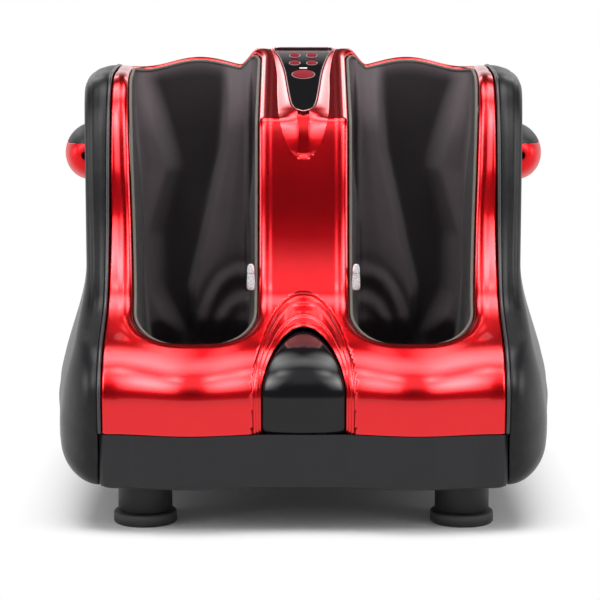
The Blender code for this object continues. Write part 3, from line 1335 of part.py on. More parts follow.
def make_footbeds():
    z = recess_top() + GAP + FOOTBED_THICKNESS / 2
    outline = [tuple(p) for p in sole_ring()]
    half_x = ROLLER_WIDTH / 2 + FOOTBED_WINDOW_MARGIN
    half_y = ROLLER_CORE_RADIUS + ROLLER_LOBE_RADIUS
    for name, side in SIDES:
        ring = [(side * x, y) for x, y in outline]
        middle = side * ROLLER_X
        window = [(middle - half_x, SOLE_SHAFT_Y - half_y), (middle + half_x, SOLE_SHAFT_Y - half_y),
                  (middle + half_x, SOLE_SHAFT_Y + half_y), (middle - half_x, SOLE_SHAFT_Y + half_y)]
        plate(f"footbed_{name}", ring, FOOTBED_THICKNESS, Matrix.Translation((0, 0, z)), "black_plastic",
              [window])


# Electrics and fasteners

def make_power_board():
    floor = TRAY_FLOOR_Z + GAP
    front = SOLE_SHAFT_Y + ROLLER_CORE_RADIUS + ROLLER_LOBE_RADIUS
    rear = POST_FRONT_Y - FRAME_PLATE
    half_length = (rear - front) / 2 * POWER_BOARD_ROOM_SHARE
    x, y = POWER_BOARD_X, (front + rear) / 2
    low = floor + STANDOFF_HEIGHT
    board = box("power_board", (x - POWER_BOARD_HALF_WIDTH, y - half_length, low),
                (x + POWER_BOARD_HALF_WIDTH, y + half_length, low + BOARD_THICKNESS), "circuit_board")
    legs = []
    for k in range(4):
        leg_x = x + (POWER_BOARD_HALF_WIDTH - 2 * BOARD_POST_RADIUS) * (1 if k % 2 else -1)
        leg_y = y + (half_length - 2 * BOARD_POST_RADIUS) * (1 if k > 1 else -1)
        legs.append(cylinder(f"standoff_{k}", (leg_x, leg_y, floor), (leg_x, leg_y, low + BOARD_THICKNESS / 2),
                             BOARD_POST_RADIUS, sides=8))
    block = box("transformer", (x - TRANSFORMER_HALF, y - TRANSFORMER_HALF, low + BOARD_THICKNESS / 2),
                (x + TRANSFORMER_HALF, y + TRANSFORMER_HALF, low + TRANSFORMER_HEIGHT))
    return fuse(board, *legs, block)


def rear_housing(name, x, half_width, half_height):
    """A block through the rear cover, with a flange outside it."""
    rear = rear_surface_y(INLET_Z)
    block = box(name, (x - half_width, rear - INLET_DEPTH, INLET_Z - half_height),
                (x + half_width, rear - GAP, INLET_Z + half_height), "black_plastic")
    return block, rear


def rear_surface_y(z):
    points = REAR[0]
    return float(np.interp(z, points[::-1, 1], points[::-1, 0]))


def make_inlet():
    block, rear = rear_housing("power_inlet", INLET_X, INLET_HALF_WIDTH, INLET_HALF_HEIGHT)
    space = box("inlet_space", (INLET_X - SOCKET_HALF_WIDTH, rear - SOCKET_DEPTH, INLET_Z - SOCKET_HALF_HEIGHT),
                (INLET_X + SOCKET_HALF_WIDTH, rear + OVERRUN, INLET_Z + SOCKET_HALF_HEIGHT))
    return cut(block, space)


def make_rocker():
    block, rear = rear_housing("switch_frame", SWITCH_X, SWITCH_HALF_WIDTH, SWITCH_HALF_HEIGHT)
    room = ROCKER_DEPTH + 2 * FLANGE
    half_x, half_z = ROCKER_HALF_WIDTH + GAP, ROCKER_HALF_HEIGHT + FLANGE
    space = box("switch_space", (SWITCH_X - half_x, rear - room, INLET_Z - half_z),
                (SWITCH_X + half_x, rear + OVERRUN, INLET_Z + half_z))
    cut(block, space)
    middle = rear - ROCKER_DEPTH / 2
    pivot = empty_at("rocker_pivot", (SWITCH_X, middle, INLET_Z))
    low = (SWITCH_X - ROCKER_HALF_WIDTH, middle - ROCKER_DEPTH / 2, INLET_Z - ROCKER_HALF_HEIGHT)
    high = (SWITCH_X + ROCKER_HALF_WIDTH, middle + ROCKER_DEPTH / 2, INLET_Z + ROCKER_HALF_HEIGHT)
    rocker = box("rocker_switch", low, high, "black_gloss", turn=Matrix.Rotation(-ROCKER_TILT, 4, "X"))
    hang(rocker, pivot)


# Build

clear_scene()
PARTS = collection("foot_and_calf_massager")
CUTTERS = collection("cutters")
FRONT = profile(FRONT_DEPTH_SHARES, FRONT_HEIGHT_SHARES)
FRONT_LENGTH = FRONT[1][-1]
REAR = profile(REAR_DEPTH_SHARES, REAR_HEIGHT_SHARES)
REAR_LENGTH = REAR[1][-1]
SIDE = side_outline()

make_front_shell(arch_prism("arch_hole", 0.0), console_cutter())
make_arch_insert()
make_rear_cover()
make_base_tray()
for side_name, side_sign in SIDES:
    make_side_shell(f"side_shell_{side_name}", side_sign)
    make_piping(f"side_piping_{side_name}", side_sign)
    make_handle(side_name, side_sign)
    make_liner(f"liner_{side_name}", side_sign)
    make_zip_pull(f"zip_pull_{side_name}", side_sign)
make_console()
make_stand()
make_rear_feet()
make_drive_frame()
make_calf_drive()
make_sole_drive()
make_footbeds()
make_power_board()
make_inlet()
make_rocker()
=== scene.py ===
"""Looks of the foot and calf massager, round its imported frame: fine shells, cloth, small parts and finishes.

Metres, +Z up, toes towards -Y. New surfaces are functions of two parameters, worked out as whole arrays.
"""
import math

import bmesh
import bpy
import numpy as np
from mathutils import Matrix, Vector


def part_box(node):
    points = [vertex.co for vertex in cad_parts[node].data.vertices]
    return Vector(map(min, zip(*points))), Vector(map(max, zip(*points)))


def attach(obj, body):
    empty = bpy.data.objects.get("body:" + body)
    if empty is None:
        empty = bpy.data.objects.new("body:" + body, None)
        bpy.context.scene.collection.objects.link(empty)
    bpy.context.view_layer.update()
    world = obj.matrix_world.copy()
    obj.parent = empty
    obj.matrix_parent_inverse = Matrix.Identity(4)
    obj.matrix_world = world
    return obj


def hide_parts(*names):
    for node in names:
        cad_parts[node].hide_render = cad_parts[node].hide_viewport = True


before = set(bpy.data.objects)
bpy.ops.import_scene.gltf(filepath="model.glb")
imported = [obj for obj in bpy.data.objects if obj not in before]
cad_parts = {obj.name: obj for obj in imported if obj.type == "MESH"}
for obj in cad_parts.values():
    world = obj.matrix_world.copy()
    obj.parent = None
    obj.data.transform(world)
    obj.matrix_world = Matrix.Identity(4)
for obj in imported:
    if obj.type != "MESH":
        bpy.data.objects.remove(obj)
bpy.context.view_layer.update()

# Camera and photograph frame
CAMERA_DISTANCE = 1.95
CAMERA_TARGET = (-0.003, 0.0, 0.172)
CAMERA_ELEVATION = math.radians(8.0)
FOCAL_PIXELS = 2158.0
PICTURE_PIXELS = 600.0

# Body, as the solids have it
BODY_WIDTH = 0.440
BODY_DEPTH = 0.400
CROWN_Z = 0.387
FLOOR_CLEARANCE = 0.040
SPLIT_Z = 0.0857
GAP = 0.0003
SHELL_HALF_WIDTH = 0.1665
SHELL_WALL = 0.0025
TOE_SWELL = 0.010
TOE_X = 0.094
TOE_HALF_WIDTH = 0.066
TOE_TOP_Z = 0.178
TOE_FULL_Z = 0.120
FRONT_END_SHARE = 0.3
BODY_DEPTH_SHARES = (-0.465, -0.475, -0.468, -0.43, -0.36, -0.29, -0.25, -0.22, -0.198, -0.17, -0.125, -0.05,
                     0.075, 0.2, 0.3, 0.375, 0.43, 0.465, 0.485, 0.496, 0.5, 0.497)
BODY_HEIGHT_SHARES = (0.0, 0.063, 0.146, 0.219, 0.272, 0.332, 0.419, 0.545, 0.711, 0.85, 0.937, 0.983,
                      1.0, 0.995, 0.97, 0.915, 0.825, 0.70, 0.50, 0.25, 0.10, 0.0)
LINE_STEP = 0.001
LINE_ROUNDING_STEPS = 4
LINE_CURVE_STEPS = 24

# Crown: the bridge lies near the console's plane, the collars behind the wells are arched, the strips sink
BRIDGE_SINK = 0.006
BRIDGE_TOP_SINK = 0.001
BRIDGE_SHOULDER = 0.008
BRIDGE_FRONT_Y = -0.040
BRIDGE_MIDDLE_Y = 0.010
BRIDGE_REAR_MARGIN = 0.012
BRIDGE_FLAT_X = 0.042
BRIDGE_EDGE_X = 0.060
NORMAL_STEP = 0.0008
COLLAR_SINK = 0.0055
COLLAR_ARCH = 0.0092
COLLAR_X = 0.096
COLLAR_HALF_WIDTH = 0.056
LIFT_START_Y = -0.055
LIFT_FULL_Y = 0.0
LIFT_FADE_Y = 0.125
LIFT_END_Y = 0.180
RISE_START_Y = -0.020
RISE_TOP_Y = 0.080

# Leg wells
WELL_INNER_X = 0.039
WELL_OUTER_LOW_X = 0.143
WELL_OUTER_HIGH_X = 0.157
WELL_LOW_ARC = 0.089
WELL_REAR_MARGIN = 0.034
WELL_LOW_RADIUS = 0.040
WELL_HIGH_RADIUS = 0.024
LIP_RADIUS = 0.0052
LIP_LOW_RADIUS = 0.0085
LIP_RIDGE = 0.0005
LIP_RIDGE_WIDTH = 0.0055
EDGE_RADIUS = 0.0024
STRIP_HIGH_DROP = 0.0009
STRIP_LOW_DROP = 0.0034
STRIP_LOW_Z = 0.255
STRIP_HIGH_Z = 0.300
STRIP_EASE_HEIGHT = 0.05
LIP_EASE_LENGTH = 0.04

# Arch insert and the steps round it, seen from the front
ARCH_HALF_WIDTHS = (0.0350, 0.0368, 0.0390, 0.0412)
ARCH_TOPS_Z = (0.1700, 0.1755, 0.1840, 0.1930)
ARCH_SPRING_Z = 0.118
ARCH_STEP = 0.0014
ARCH_RISER_SHARE = 0.16
ARCH_CROWN = 0.0042
ARCH_OVERLAP_SHARE = 0.05
ARCH_CROWN_RISE = 0.03
ARCH_POINTS = 140
ARCH_LEG_POINTS = 23
ARCH_STEP_ROWS = 37
INSERT_BULGE = 0.0055
INSERT_GAP_SHARE = 0.004
INSERT_FOOT_HEIGHT = 0.020
INSERT_FOOT_SHARE = 0.75
INSERT_ROWS = 26

# Fins that flank the console: half widths between their feet, by height in the view from the front
NOSE_END_Z = 0.300
FIN_SEEN_HEIGHTS = (0.2925, 0.2960, 0.3040, 0.3263, 0.3508, 0.3671, 0.3753, 0.3905, 0.4032)
FIN_HALF_WIDTHS = (0.0030, 0.0085, 0.0142, 0.0208, 0.0229, 0.0233, 0.0238, 0.0262, 0.0302)
FIN_GROOVE = 0.0021
FIN_HOLE_MARGIN = 0.0035
NOSE_TUCK = 0.0018
NOSE_TUCK_LENGTH = 0.0030
NOSE_LOW_SLOPE = -0.04
NOSE_TIP_SLOPE = 0.70
FIN_BEND = 1.15
VALLEY_HALF_WIDTH = 0.0052
VALLEY_DEPTH = 0.0042
FIN_CURVE_STEPS = 8
BRIDGE_LINE_X = 0.02
BRIDGE_LINE_MARGIN = 0.01
BRIDGE_LINE_POINTS = 400

# Console
PANEL_TIP_Y = -0.066
PANEL_TIP_Z = 0.346
PANEL_TOP_Y = 0.080
PANEL_TOP_Z = 0.3965
PANEL_HALF_WIDTH = 0.0285
PANEL_LENGTH_SHARES = (0.0, 0.012, 0.05, 0.14, 0.35, 0.62, 0.84, 0.96, 1.0)
PANEL_WIDTH_SHARES = (0.0, 0.14, 0.27, 0.36, 0.45, 0.56, 0.74, 0.92, 0.90)
LENS_BEND_LENGTH = 0.045
LENS_BEND_DEPTH = 0.0045
RIM_BEAD_RADIUS = 0.00048
RIM_BEAD_OFFSET = 0.0007
RIM_BEAD_HEIGHT = 0.0003
RIM_POINTS = 160
RIM_SIDES = 12
PANEL_CURVE_STEPS = 12
PANEL_ROUNDING_STEPS = 2

# Padded sides and piping
PIPING_RADIUS = 0.0015
PIPING_POINTS = 420
PIPING_END = 0.001
PIPING_SINK = 0.0005
BEAD_SIDES = 10
SIDE_SEAM_X = 0.1701
SIDE_UPPER_X = 0.1945
SIDE_CROWN = 0.005
SIDE_CROWN_LENGTH = 0.110
SIDE_MIDDLE_Y = 0.050
SIDE_HEART_Y = 0.030
SIDE_HEART_Z = 0.170
BULGE_TOP_Z = 0.215
BULGE_FULL_Z = 0.096
SIDE_UPPER_ROUNDING = 0.015
SIDE_LOWER_ROUNDING = 0.050
SIDE_BOTTOM_RADIUS = 0.012
SIDE_WALL = 0.0022
TRAY_ROUNDING = 0.006

# Liners
SOLE_INNER_X = 0.046
SOLE_OUTER_X = 0.141
SOLE_TOE_Y = -0.172
SOLE_HEEL_Y = 0.083
SOLE_TOE_RADIUS = 0.036
SOLE_HEEL_RADIUS = 0.030
SOLE_Z = 0.0904
LINER_WALL = 0.0012
LINER_TUCK = 0.016
LINER_EASE = 0.050

# Handles
HANDLE_Y = 0.045
HANDLE_Z = 0.304
HANDLE_HALF_LENGTH = 0.066
HANDLE_HALF_HEIGHT = 0.0255
HANDLE_REACH = 0.0215
HANDLE_SINK = 0.002
HANDLE_WALL = 0.0022
HANDLE_SPLIT_Z = 0.3145
HANDLE_FULLNESS = 0.6
HANDLE_END_SHARE = 0.012
HANDLE_JOINT_ANGLE = 0.012
HANDLE_COLUMNS = 90
HANDLE_ROWS = 34

SIDES = (("left", -1), ("right", 1))

# A point inside the body, which outer faces look away from
BODY_HEART = (0.0, 0.05, 0.17)


# Camera

def make_camera():
    """The photograph's view: 8 degrees above the horizon, from straight in front."""
    data = bpy.data.cameras.new("camera")
    data.sensor_width = 36.0
    data.lens = FOCAL_PIXELS / PICTURE_PIXELS * data.sensor_width
    camera = bpy.data.objects.new("camera", data)
    bpy.context.scene.collection.objects.link(camera)
    back = Vector((0, -math.cos(CAMERA_ELEVATION), math.sin(CAMERA_ELEVATION)))
    camera.location = Vector(CAMERA_TARGET) + CAMERA_DISTANCE * back
    camera.rotation_mode = "QUATERNION"
    camera.rotation_quaternion = (-back).to_track_quat("-Z", "Y")
    bpy.context.scene.camera = camera


make_camera()


# Shader sockets that take part in sums

class Value:
    """A number socket. Arithmetic with it adds the Math node that works it out."""

    def __init__(self, finish, socket):
        self.finish, self.socket = finish, socket

    def math(self, operation, other=None, swap=False):
        inputs = [self] if other is None else [self, other]
        if swap:
            inputs.reverse()
        return self.finish.node("ShaderNodeMath", {"operation": operation}, dict(enumerate(inputs)))

    def __add__(self, other):
        return self.math("ADD", other)

    def __sub__(self, other):
        return self.math("SUBTRACT", other)

    def __rsub__(self, other):
        return self.math("SUBTRACT", other, swap=True)

    def __mul__(self, other):
        return self.math("MULTIPLY", other)

    def __truediv__(self, other):
        return self.math("DIVIDE", other)

    __radd__, __rmul__ = __add__, __mul__

    def clamped(self, low, high):
        """Share of the way from low to high, held between 0 and 1."""
        share = (self - low) / (high - low)
        return share.math("MAXIMUM", 0.0).math("MINIMUM", 1.0)


class Shading:
    """A node tree, with one method that adds any node."""

    def __init__(self, tree):
        self.tree = tree

    def node(self, kind, settings=None, inputs=None, out=0):
        """Adds a node, sets its settings and then its inputs, and gives one of its outputs."""
        made = self.tree.nodes.new(kind)
        for key, value in (settings or {}).items():
            setattr(made, key, value)
        for key, value in (inputs or {}).items():
            self.feed(made.inputs[key], value)
        return Value(self, made.outputs[out])

    def feed(self, socket, value):
        if isinstance(value, Value):
            self.tree.links.new(value.socket, socket)
        else:
            socket.default_value = value


class Finish(Shading):
    """A material with a Principled shader."""

    def __init__(self, name, colour, roughness, metallic=0.0, **constants):
        self.material = bpy.data.materials.new(name)
        self.material.use_nodes = True
        super().__init__(self.material.node_tree)
        self.shader = self.tree.nodes["Principled BSDF"]
        self.colour = colour
        for key, value in {"Base Color": (*colour, 1), "Roughness": roughness, "Metallic": metallic,
                           **constants}.items():
            self.shader.inputs[key].default_value = value

    def place(self, scale=(1, 1, 1)):
        """Object coordinates, stretched."""
        at = self.node("ShaderNodeTexCoord", out=3)
        return self.node("ShaderNodeMapping", inputs={"Vector": at, "Scale": scale})

    def noise(self, size, detail=2.0, at=None):
        """Noise with features of a size in metres, from 0 to 1."""
        return self.node("ShaderNodeTexNoise", inputs={"Vector": at or self.place(), "Scale": 1 / size,
                                                       "Detail": detail})

    def cells(self, size, feature="F1", at=None):
        return self.node("ShaderNodeTexVoronoi", {"feature": feature},
                         {"Vector": at or self.place(), "Scale": 1 / size})

    def mix(self, factor, first, second):
        """A colour between two, by a factor."""
        return self.node("ShaderNodeMix", {"data_type": "RGBA"}, {0: factor, 6: first, 7: second}, out=2)

    def vary(self, socket, value):
        self.feed(self.shader.inputs[socket], value)

    def tint(self, factor, other):
        """Runs the base colour towards another by a factor."""
        self.vary("Base Color", self.mix(factor, (*self.colour, 1), (*other, 1)))

    def bump(self, height, depth, strength=1.0):
        self.vary("Normal", self.node("ShaderNodeBump", inputs={"Strength": strength, "Distance": depth,
                                                                "Height": height}))


def red_paint(name="red_lacquer", roughness=0.21, coat=0.7, coat_roughness=0.035):
    """Candy red lacquer: a metallic coat under a clear one, with faint flakes and orange peel."""
    paint = Finish(name, (0.80, 0.006, 0.012), roughness, 0.92,
                   **{"Coat Weight": coat, "Coat Roughness": coat_roughness, "Coat IOR": 1.5})
    paint.vary("Roughness", roughness + paint.noise(0.03) * 0.05)
    paint.tint(paint.noise(0.06, 1.0) * 0.25, (0.70, 0.004, 0.010))
    paint.bump(paint.noise(0.006, 1.0), 0.000008, 0.3)
    return paint.material


def piano_black():
    black = Finish("piano_black", (0.006, 0.006, 0.007), 0.10, 0.0, **{"Specular IOR Level": 0.30})
    smears = black.noise(0.025, 3.0)
    black.vary("Roughness", 0.08 + smears * 0.06)
    black.tint(smears * 0.4, (0.013, 0.013, 0.015))
    return black.material


def panel_lens():
    """The console's black lens: glossy, and bent back a little near its top, where it meets the rear."""
    lens = Finish("panel_lens", (0.005, 0.005, 0.006), 0.12, 0.0, **{"Specular IOR Level": 0.9})
    y = lens.node("ShaderNodeSeparateXYZ", inputs={0: lens.place()}, out=1)
    bent = y.clamped(PANEL_TOP_Y - LENS_BEND_LENGTH, PANEL_TOP_Y)
    lens.bump(1 - bent * bent, LENS_BEND_DEPTH, 1.0)
    lens.vary("Roughness", 0.06 + lens.noise(0.02, 3.0) * 0.05)
    lens.tint(lens.noise(0.01) * 0.3, (0.008, 0.008, 0.009))
    return lens.material


def leatherette():
    """Black coated cloth: pebble grain with fine creases, a little glossier on the grain's tops."""
    hide = Finish("black_leatherette", (0.008, 0.008, 0.009), 0.32, 0.0, **{"Specular IOR Level": 0.22})
    grain = hide.cells(0.0011, "SMOOTH_F1")
    creases = hide.noise(0.0065, 4.0)
    hide.vary("Roughness", 0.25 + grain * 0.14 + creases * 0.06)
    hide.tint(creases.clamped(0.45, 0.75), (0.013, 0.013, 0.0145))
    hide.bump(grain * 0.7 + creases * 0.5, 0.00016, 0.55)
    return hide.material


def moulded_black(name="moulded_black", colour=(0.013, 0.013, 0.0145), roughness=0.5, gloss=0.3):
    """Moulded plastic with a fine spark-eroded grain."""
    plastic = Finish(name, colour, roughness, 0.0, **{"Specular IOR Level": gloss})
    grain = plastic.noise(0.0005, 2.0)
    cloud = plastic.noise(0.04, 2.0)
    plastic.vary("Roughness", roughness - 0.08 + grain * 0.12 + cloud * 0.06)
    plastic.tint(cloud * 0.6, tuple(1.35 * c for c in colour))
    plastic.bump(grain, 0.00006, 0.6)
    return plastic.material


def rubber():
    foot = Finish("foot_rubber", (0.014, 0.014, 0.015), 0.62)
    dust = foot.noise(0.008, 4.0)
    foot.vary("Roughness", 0.55 + dust * 0.2)
    foot.tint(dust.clamped(0.5, 0.9) * 0.5, (0.03, 0.03, 0.031))
    foot.bump(foot.noise(0.0007, 2.0), 0.00005, 0.7)
    return foot.material


def liner_cloth():
    """Taupe stretch cloth: a fine twill on the piece's own map, in metres, with a soft sheen. Painted shade
    runs it to near black where the liner grid marks shade: in the gap between the pads, under the rim, on side
    walls and over the sole.
    """
    cloth = Finish("liner_cloth", (0.11, 0.094, 0.096), 0.85, 0.0,
                   **{"Sheen Weight": 0.08, "Sheen Roughness": 0.45, "Specular IOR Level": 0.12})
    at = cloth.node("ShaderNodeUVMap", {"uv_map": "metres"})
    across = cloth.node("ShaderNodeSeparateXYZ", inputs={0: at})
    down = cloth.node("ShaderNodeSeparateXYZ", inputs={0: at}, out=1)
    thread = 2 * math.pi / 0.0010
    twill = ((across + down) * thread).math("SINE")
    weft = ((down - across * 0.35) * (thread * 1.6)).math("SINE")
    weave = (twill * 0.6 + weft * 0.4) * 0.5 + 0.5
    wear = cloth.noise(0.035, 3.0)
    plain = cloth.mix(weave * 0.5 + wear * 0.4, (0.086, 0.070, 0.076, 1), (0.155, 0.130, 0.138, 1))
    # Painted shade: the colour runs to near black by the shade mark that each point of the liner carries
    painted_shade = cloth.node("ShaderNodeAttribute", {"attribute_name": "painted_shade"}, out=2)
    cloth.vary("Base Color", cloth.mix(painted_shade * 0.85, plain, (0.010, 0.009, 0.009, 1)))
    wrinkles = cloth.noise(0.022, 3.0)
    cloth.bump(weave * 0.08 + wrinkles * 0.92, 0.0016, 0.8)
    return cloth.material


def metal(name, colour, roughness, streak=(1, 1, 1)):
    """Bare or plated metal with faint machining lines."""
    bare = Finish(name, colour, roughness, 1.0)
    lines = bare.noise(0.0008, 3.0, bare.place(streak))
    bare.vary("Roughness", roughness - 0.06 + lines * 0.12)
    bare.tint(lines * 0.35, tuple(0.8 * c for c in colour))
    bare.bump(lines, 0.00002, 0.3)
    return bare.material


def plated():
    """Plated zinc with a soft gloss."""
    zinc = Finish("plated_zip", (0.72, 0.72, 0.74), 0.25, 0.35)
    scuffs = zinc.noise(0.0012, 3.0)
    zinc.vary("Roughness", 0.2 + scuffs * 0.15)
    zinc.tint(scuffs * 0.4, (0.5, 0.5, 0.52))
    return zinc.material


def circuit():
    board = Finish("circuit_board", (0.012, 0.11, 0.035), 0.38)
    tracks = board.cells(0.004, "DISTANCE_TO_EDGE")
    board.tint(1 - tracks.clamped(0.05, 0.12), (0.03, 0.20, 0.06))
    board.bump(tracks.clamped(0.05, 0.12), 0.00004, 0.5)
    return board.material


def button_red():
    cap = Finish("button_red", (0.19, 0.008, 0.016), 0.50, 0.0, **{"Specular IOR Level": 0.2})
    cap.vary("Roughness", 0.45 + cap.noise(0.002, 3.0) * 0.1)
    cap.tint(cap.noise(0.005) * 0.5, (0.25, 0.012, 0.022))
    return cap.material


def pale_print(name, colour, glow=0.0):
    mark = Finish(name, colour, 0.4, 0.0, **{"Emission Strength": glow})
    mark.shader.inputs["Emission Color"].default_value = (*colour, 1)
    mark.vary("Roughness", 0.35 + mark.noise(0.003) * 0.12)
    mark.tint(mark.noise(0.002) * 0.3, tuple(0.9 * c for c in colour))
    return mark.material


FINISHES = {
    "red_shell": red_paint(),
    "red_satin": red_paint("red_satin", 0.42, 0.25, 0.25),
    "black_gloss": piano_black(),
    "panel_lens": panel_lens(),
    "black_leather": leatherette(),
    "black_plastic": moulded_black(),
    "rubber": rubber(),
    "liner_fabric": liner_cloth(),
    "zip_metal": plated(),
    "steel": metal("turned_steel", (0.52, 0.52, 0.54), 0.34, (1, 30, 30)),
    "gear_plastic": moulded_black("natural_nylon", (0.72, 0.70, 0.64), 0.48),
    "red_button": button_red(),
    "indicator": pale_print("indicator", (0.86, 0.82, 0.82), 0.35),
    "circuit_board": circuit(),
    "piping": moulded_black("piping_bead", (0.030, 0.030, 0.033), 0.30, 0.5),
    "binding": moulded_black("binding_cloth", (0.13, 0.125, 0.11), 0.6, 0.2),
    "rim": metal("rim_bead", (0.62, 0.34, 0.36), 0.35),
    "print": pale_print("panel_print", (0.52, 0.34, 0.36)),
}


# Making pieces

def dress(obj, finish, body="housing", replaces=()):
    """Gives a finished piece its material, its body and the nodes it stands for."""
    obj.data.materials.clear()
    obj.data.materials.append(FINISHES[finish])
    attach(obj, body)
    if replaces:
        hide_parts(*replaces)
    return obj


def grid_faces(rows, columns, wrap=False, close=False):
    """Corner numbers of a grid's quads. Its last column may join its first, and its last row its first."""
    k = np.arange(rows * columns).reshape(rows, columns)
    if wrap:
        k = np.concatenate((k, k[:, :1]), axis=1)
    if close:
        k = np.concatenate((k, k[:1]))
    return np.stack((k[:-1, :-1], k[:-1, 1:], k[1:, 1:], k[1:, :-1]), axis=-1).reshape(-1, 4)


def face_normals(points, faces):
    """Normals of faces, as long as twice their areas."""
    return np.cross(points[faces[:, 2]] - points[faces[:, 0]], points[faces[:, 3]] - points[faces[:, 1]])


def turned_out(points, faces, heart=BODY_HEART):
    """The faces, turned so that most of their area looks away from a point."""
    outward = np.sum(face_normals(points, faces) * (points[faces].mean(axis=1) - np.array(heart)))
    return faces if outward > 0 else faces[:, ::-1]


def mirrored(points, faces):
    """A right half and its mirror image."""
    both = np.vstack((points, points * (-1, 1, 1)))
    return both, np.vstack((faces, faces[:, ::-1] + len(points)))


def mesh_object(name, points, faces, merge=0.00001, uv=None, sharp=math.radians(40), marks=None):
    """An object at the origin from points and quads. A quad that repeats a corner is a triangle.

    Marks are named shares, one for each point, that a material can read.
    """
    mesh = bpy.data.meshes.new(name)
    mesh.from_pydata(points.tolist(), [], faces.tolist())
    if uv is not None:
        layer = mesh.uv_layers.new(name="metres")
        layer.data.foreach_set("uv", uv[faces.reshape(-1)].reshape(-1))
    for mark, shares in (marks or {}).items():
        mesh.attributes.new(mark, "FLOAT", "POINT").data.foreach_set("value", shares)
    bm = bmesh.new()
    bm.from_mesh(mesh)
    bmesh.ops.remove_doubles(bm, verts=bm.verts, dist=merge)
    bm.to_mesh(mesh)
    bm.free()
    mesh.shade_smooth()
    mesh.set_sharp_from_angle(angle=sharp)
    obj = bpy.data.objects.new(name, mesh)
    bpy.context.scene.collection.objects.link(obj)
    return obj


def walled(name, points, faces, wall, **options):
    """A piece from an open surface, with its wall on the inner side."""
    obj = mesh_object(name, points, faces, **options)
    solid = obj.modifiers.new("wall", "SOLIDIFY")
    solid.thickness = wall
    solid.offset = -1
    bpy.context.view_layer.update()
    evaluated = obj.evaluated_get(bpy.context.evaluated_depsgraph_get())
    mesh = bpy.data.meshes.new_from_object(evaluated)
    obj.modifiers.clear()
    obj.data = mesh
    return obj


def closed(obj):
    """Fills the open ends of a tube or a turned piece, and turns its faces outwards."""
    bm = bmesh.new()
    bm.from_mesh(obj.data)
    bmesh.ops.holes_fill(bm, edges=[e for e in bm.edges if e.is_boundary])
    bmesh.ops.recalc_face_normals(bm, faces=bm.faces)
    bm.to_mesh(obj.data)
    bm.free()
    return obj


def circle_angles(count):
    return np.linspace(0, 2 * math.pi, count + 1)[:-1]


def tube(name, path, first, second, radius, sides, wrap=False):
    """A round bead along a path: at each of its points, a circle in the plane of two directions."""
    turn = circle_angles(sides)[:, None, None]
    points = path + radius * (np.cos(turn) * first + np.sin(turn) * second)
    return closed(mesh_object(name, points.reshape(-1, 3), grid_faces(sides, len(path), wrap, close=True)))


def ease(share):
    """Smooth step: 3 t^2 - 2 t^3 of a share held between 0 and 1."""
    share = np.clip(share, 0.0, 1.0)
    return share * share * (3 - 2 * share)


def ramp(value, start, end):
    """Eased share of the way from start to end."""
    return ease((value - start) / (end - start))


# The body's side profile

def catmull(points, steps):
    """Cubics through the points, whose slopes come from the neighbours."""
    points = np.array(points, float)
    padded = np.vstack((2 * points[0] - points[1], points, 2 * points[-1] - points[-2]))
    a, b, c, d = (padded[k:len(points) - 1 + k, None] for k in range(4))
    t = (np.arange(steps) / steps)[None, :, None]
    drawn = (2 * b + (c - a) * t + (2 * a - 5 * b + 4 * c - d) * t ** 2
             + (3 * b - a - 3 * c + d) * t ** 3) / 2
    return np.vstack((drawn.reshape(-1, points.shape[1]), points[-1:]))


def lengths_of(points):
    return np.concatenate(([0.0], np.cumsum(np.linalg.norm(np.diff(points, axis=0), axis=1))))


def resampled(points, count):
    """The same line with evenly spaced points."""
    lengths = lengths_of(points)
    at = np.linspace(0, lengths[-1], count)
    return np.stack([np.interp(at, lengths, points[:, k]) for k in range(points.shape[1])], axis=1)


def rounded(points, spread):
    """Gaussian rounding of an evenly spaced line, by a number of its steps, which keeps both ends."""
    reach = 4 * spread
    weights = np.exp(-np.arange(-reach, reach + 1) ** 2 / (2 * spread ** 2))
    before, after = 2 * points[0] - points[reach:0:-1], 2 * points[-1] - points[-2:-reach - 2:-1]
    padded = np.vstack((before, points, after))
    return np.stack([np.convolve(row, weights / weights.sum(), mode="valid") for row in padded.T], axis=1)


def body_line():
    height = CROWN_Z - SPLIT_Z - GAP
    shares = zip(BODY_DEPTH_SHARES, BODY_HEIGHT_SHARES)
    drawn = catmull([(d * BODY_DEPTH, SPLIT_Z + GAP + h * height) for d, h in shares], LINE_CURVE_STEPS)
    return rounded(resampled(drawn, int(lengths_of(drawn)[-1] / LINE_STEP) + 1), LINE_ROUNDING_STEPS)


BODY = body_line()
BODY_LENGTHS = lengths_of(BODY)
BODY_TANGENTS = np.gradient(BODY, axis=0) / np.linalg.norm(np.gradient(BODY, axis=0), axis=1)[:, None]
TOP_INDEX = int(BODY[:, 1].argmax())
PAST_TOP = slice(TOP_INDEX + 150)
FRONT_LENGTH = float(np.interp(FRONT_END_SHARE * BODY_DEPTH, BODY[PAST_TOP, 0], BODY_LENGTHS[PAST_TOP]))


def length_at_height(z):
    """Length along the front of the profile up to a height."""
    return np.interp(z, BODY[:TOP_INDEX, 1], BODY_LENGTHS[:TOP_INDEX])


def profile_height(s):
    """Height of the plain profile at a length along it."""
    return np.interp(s, BODY_LENGTHS, BODY[:, 1])


def toe_swell(x, z):
    across = np.minimum(np.abs(np.abs(x) - TOE_X) / TOE_HALF_WIDTH, 1.0)
    return TOE_SWELL * np.cos(across * math.pi / 2) ** 2 * ramp(z, TOE_TOP_Z, TOE_FULL_Z)


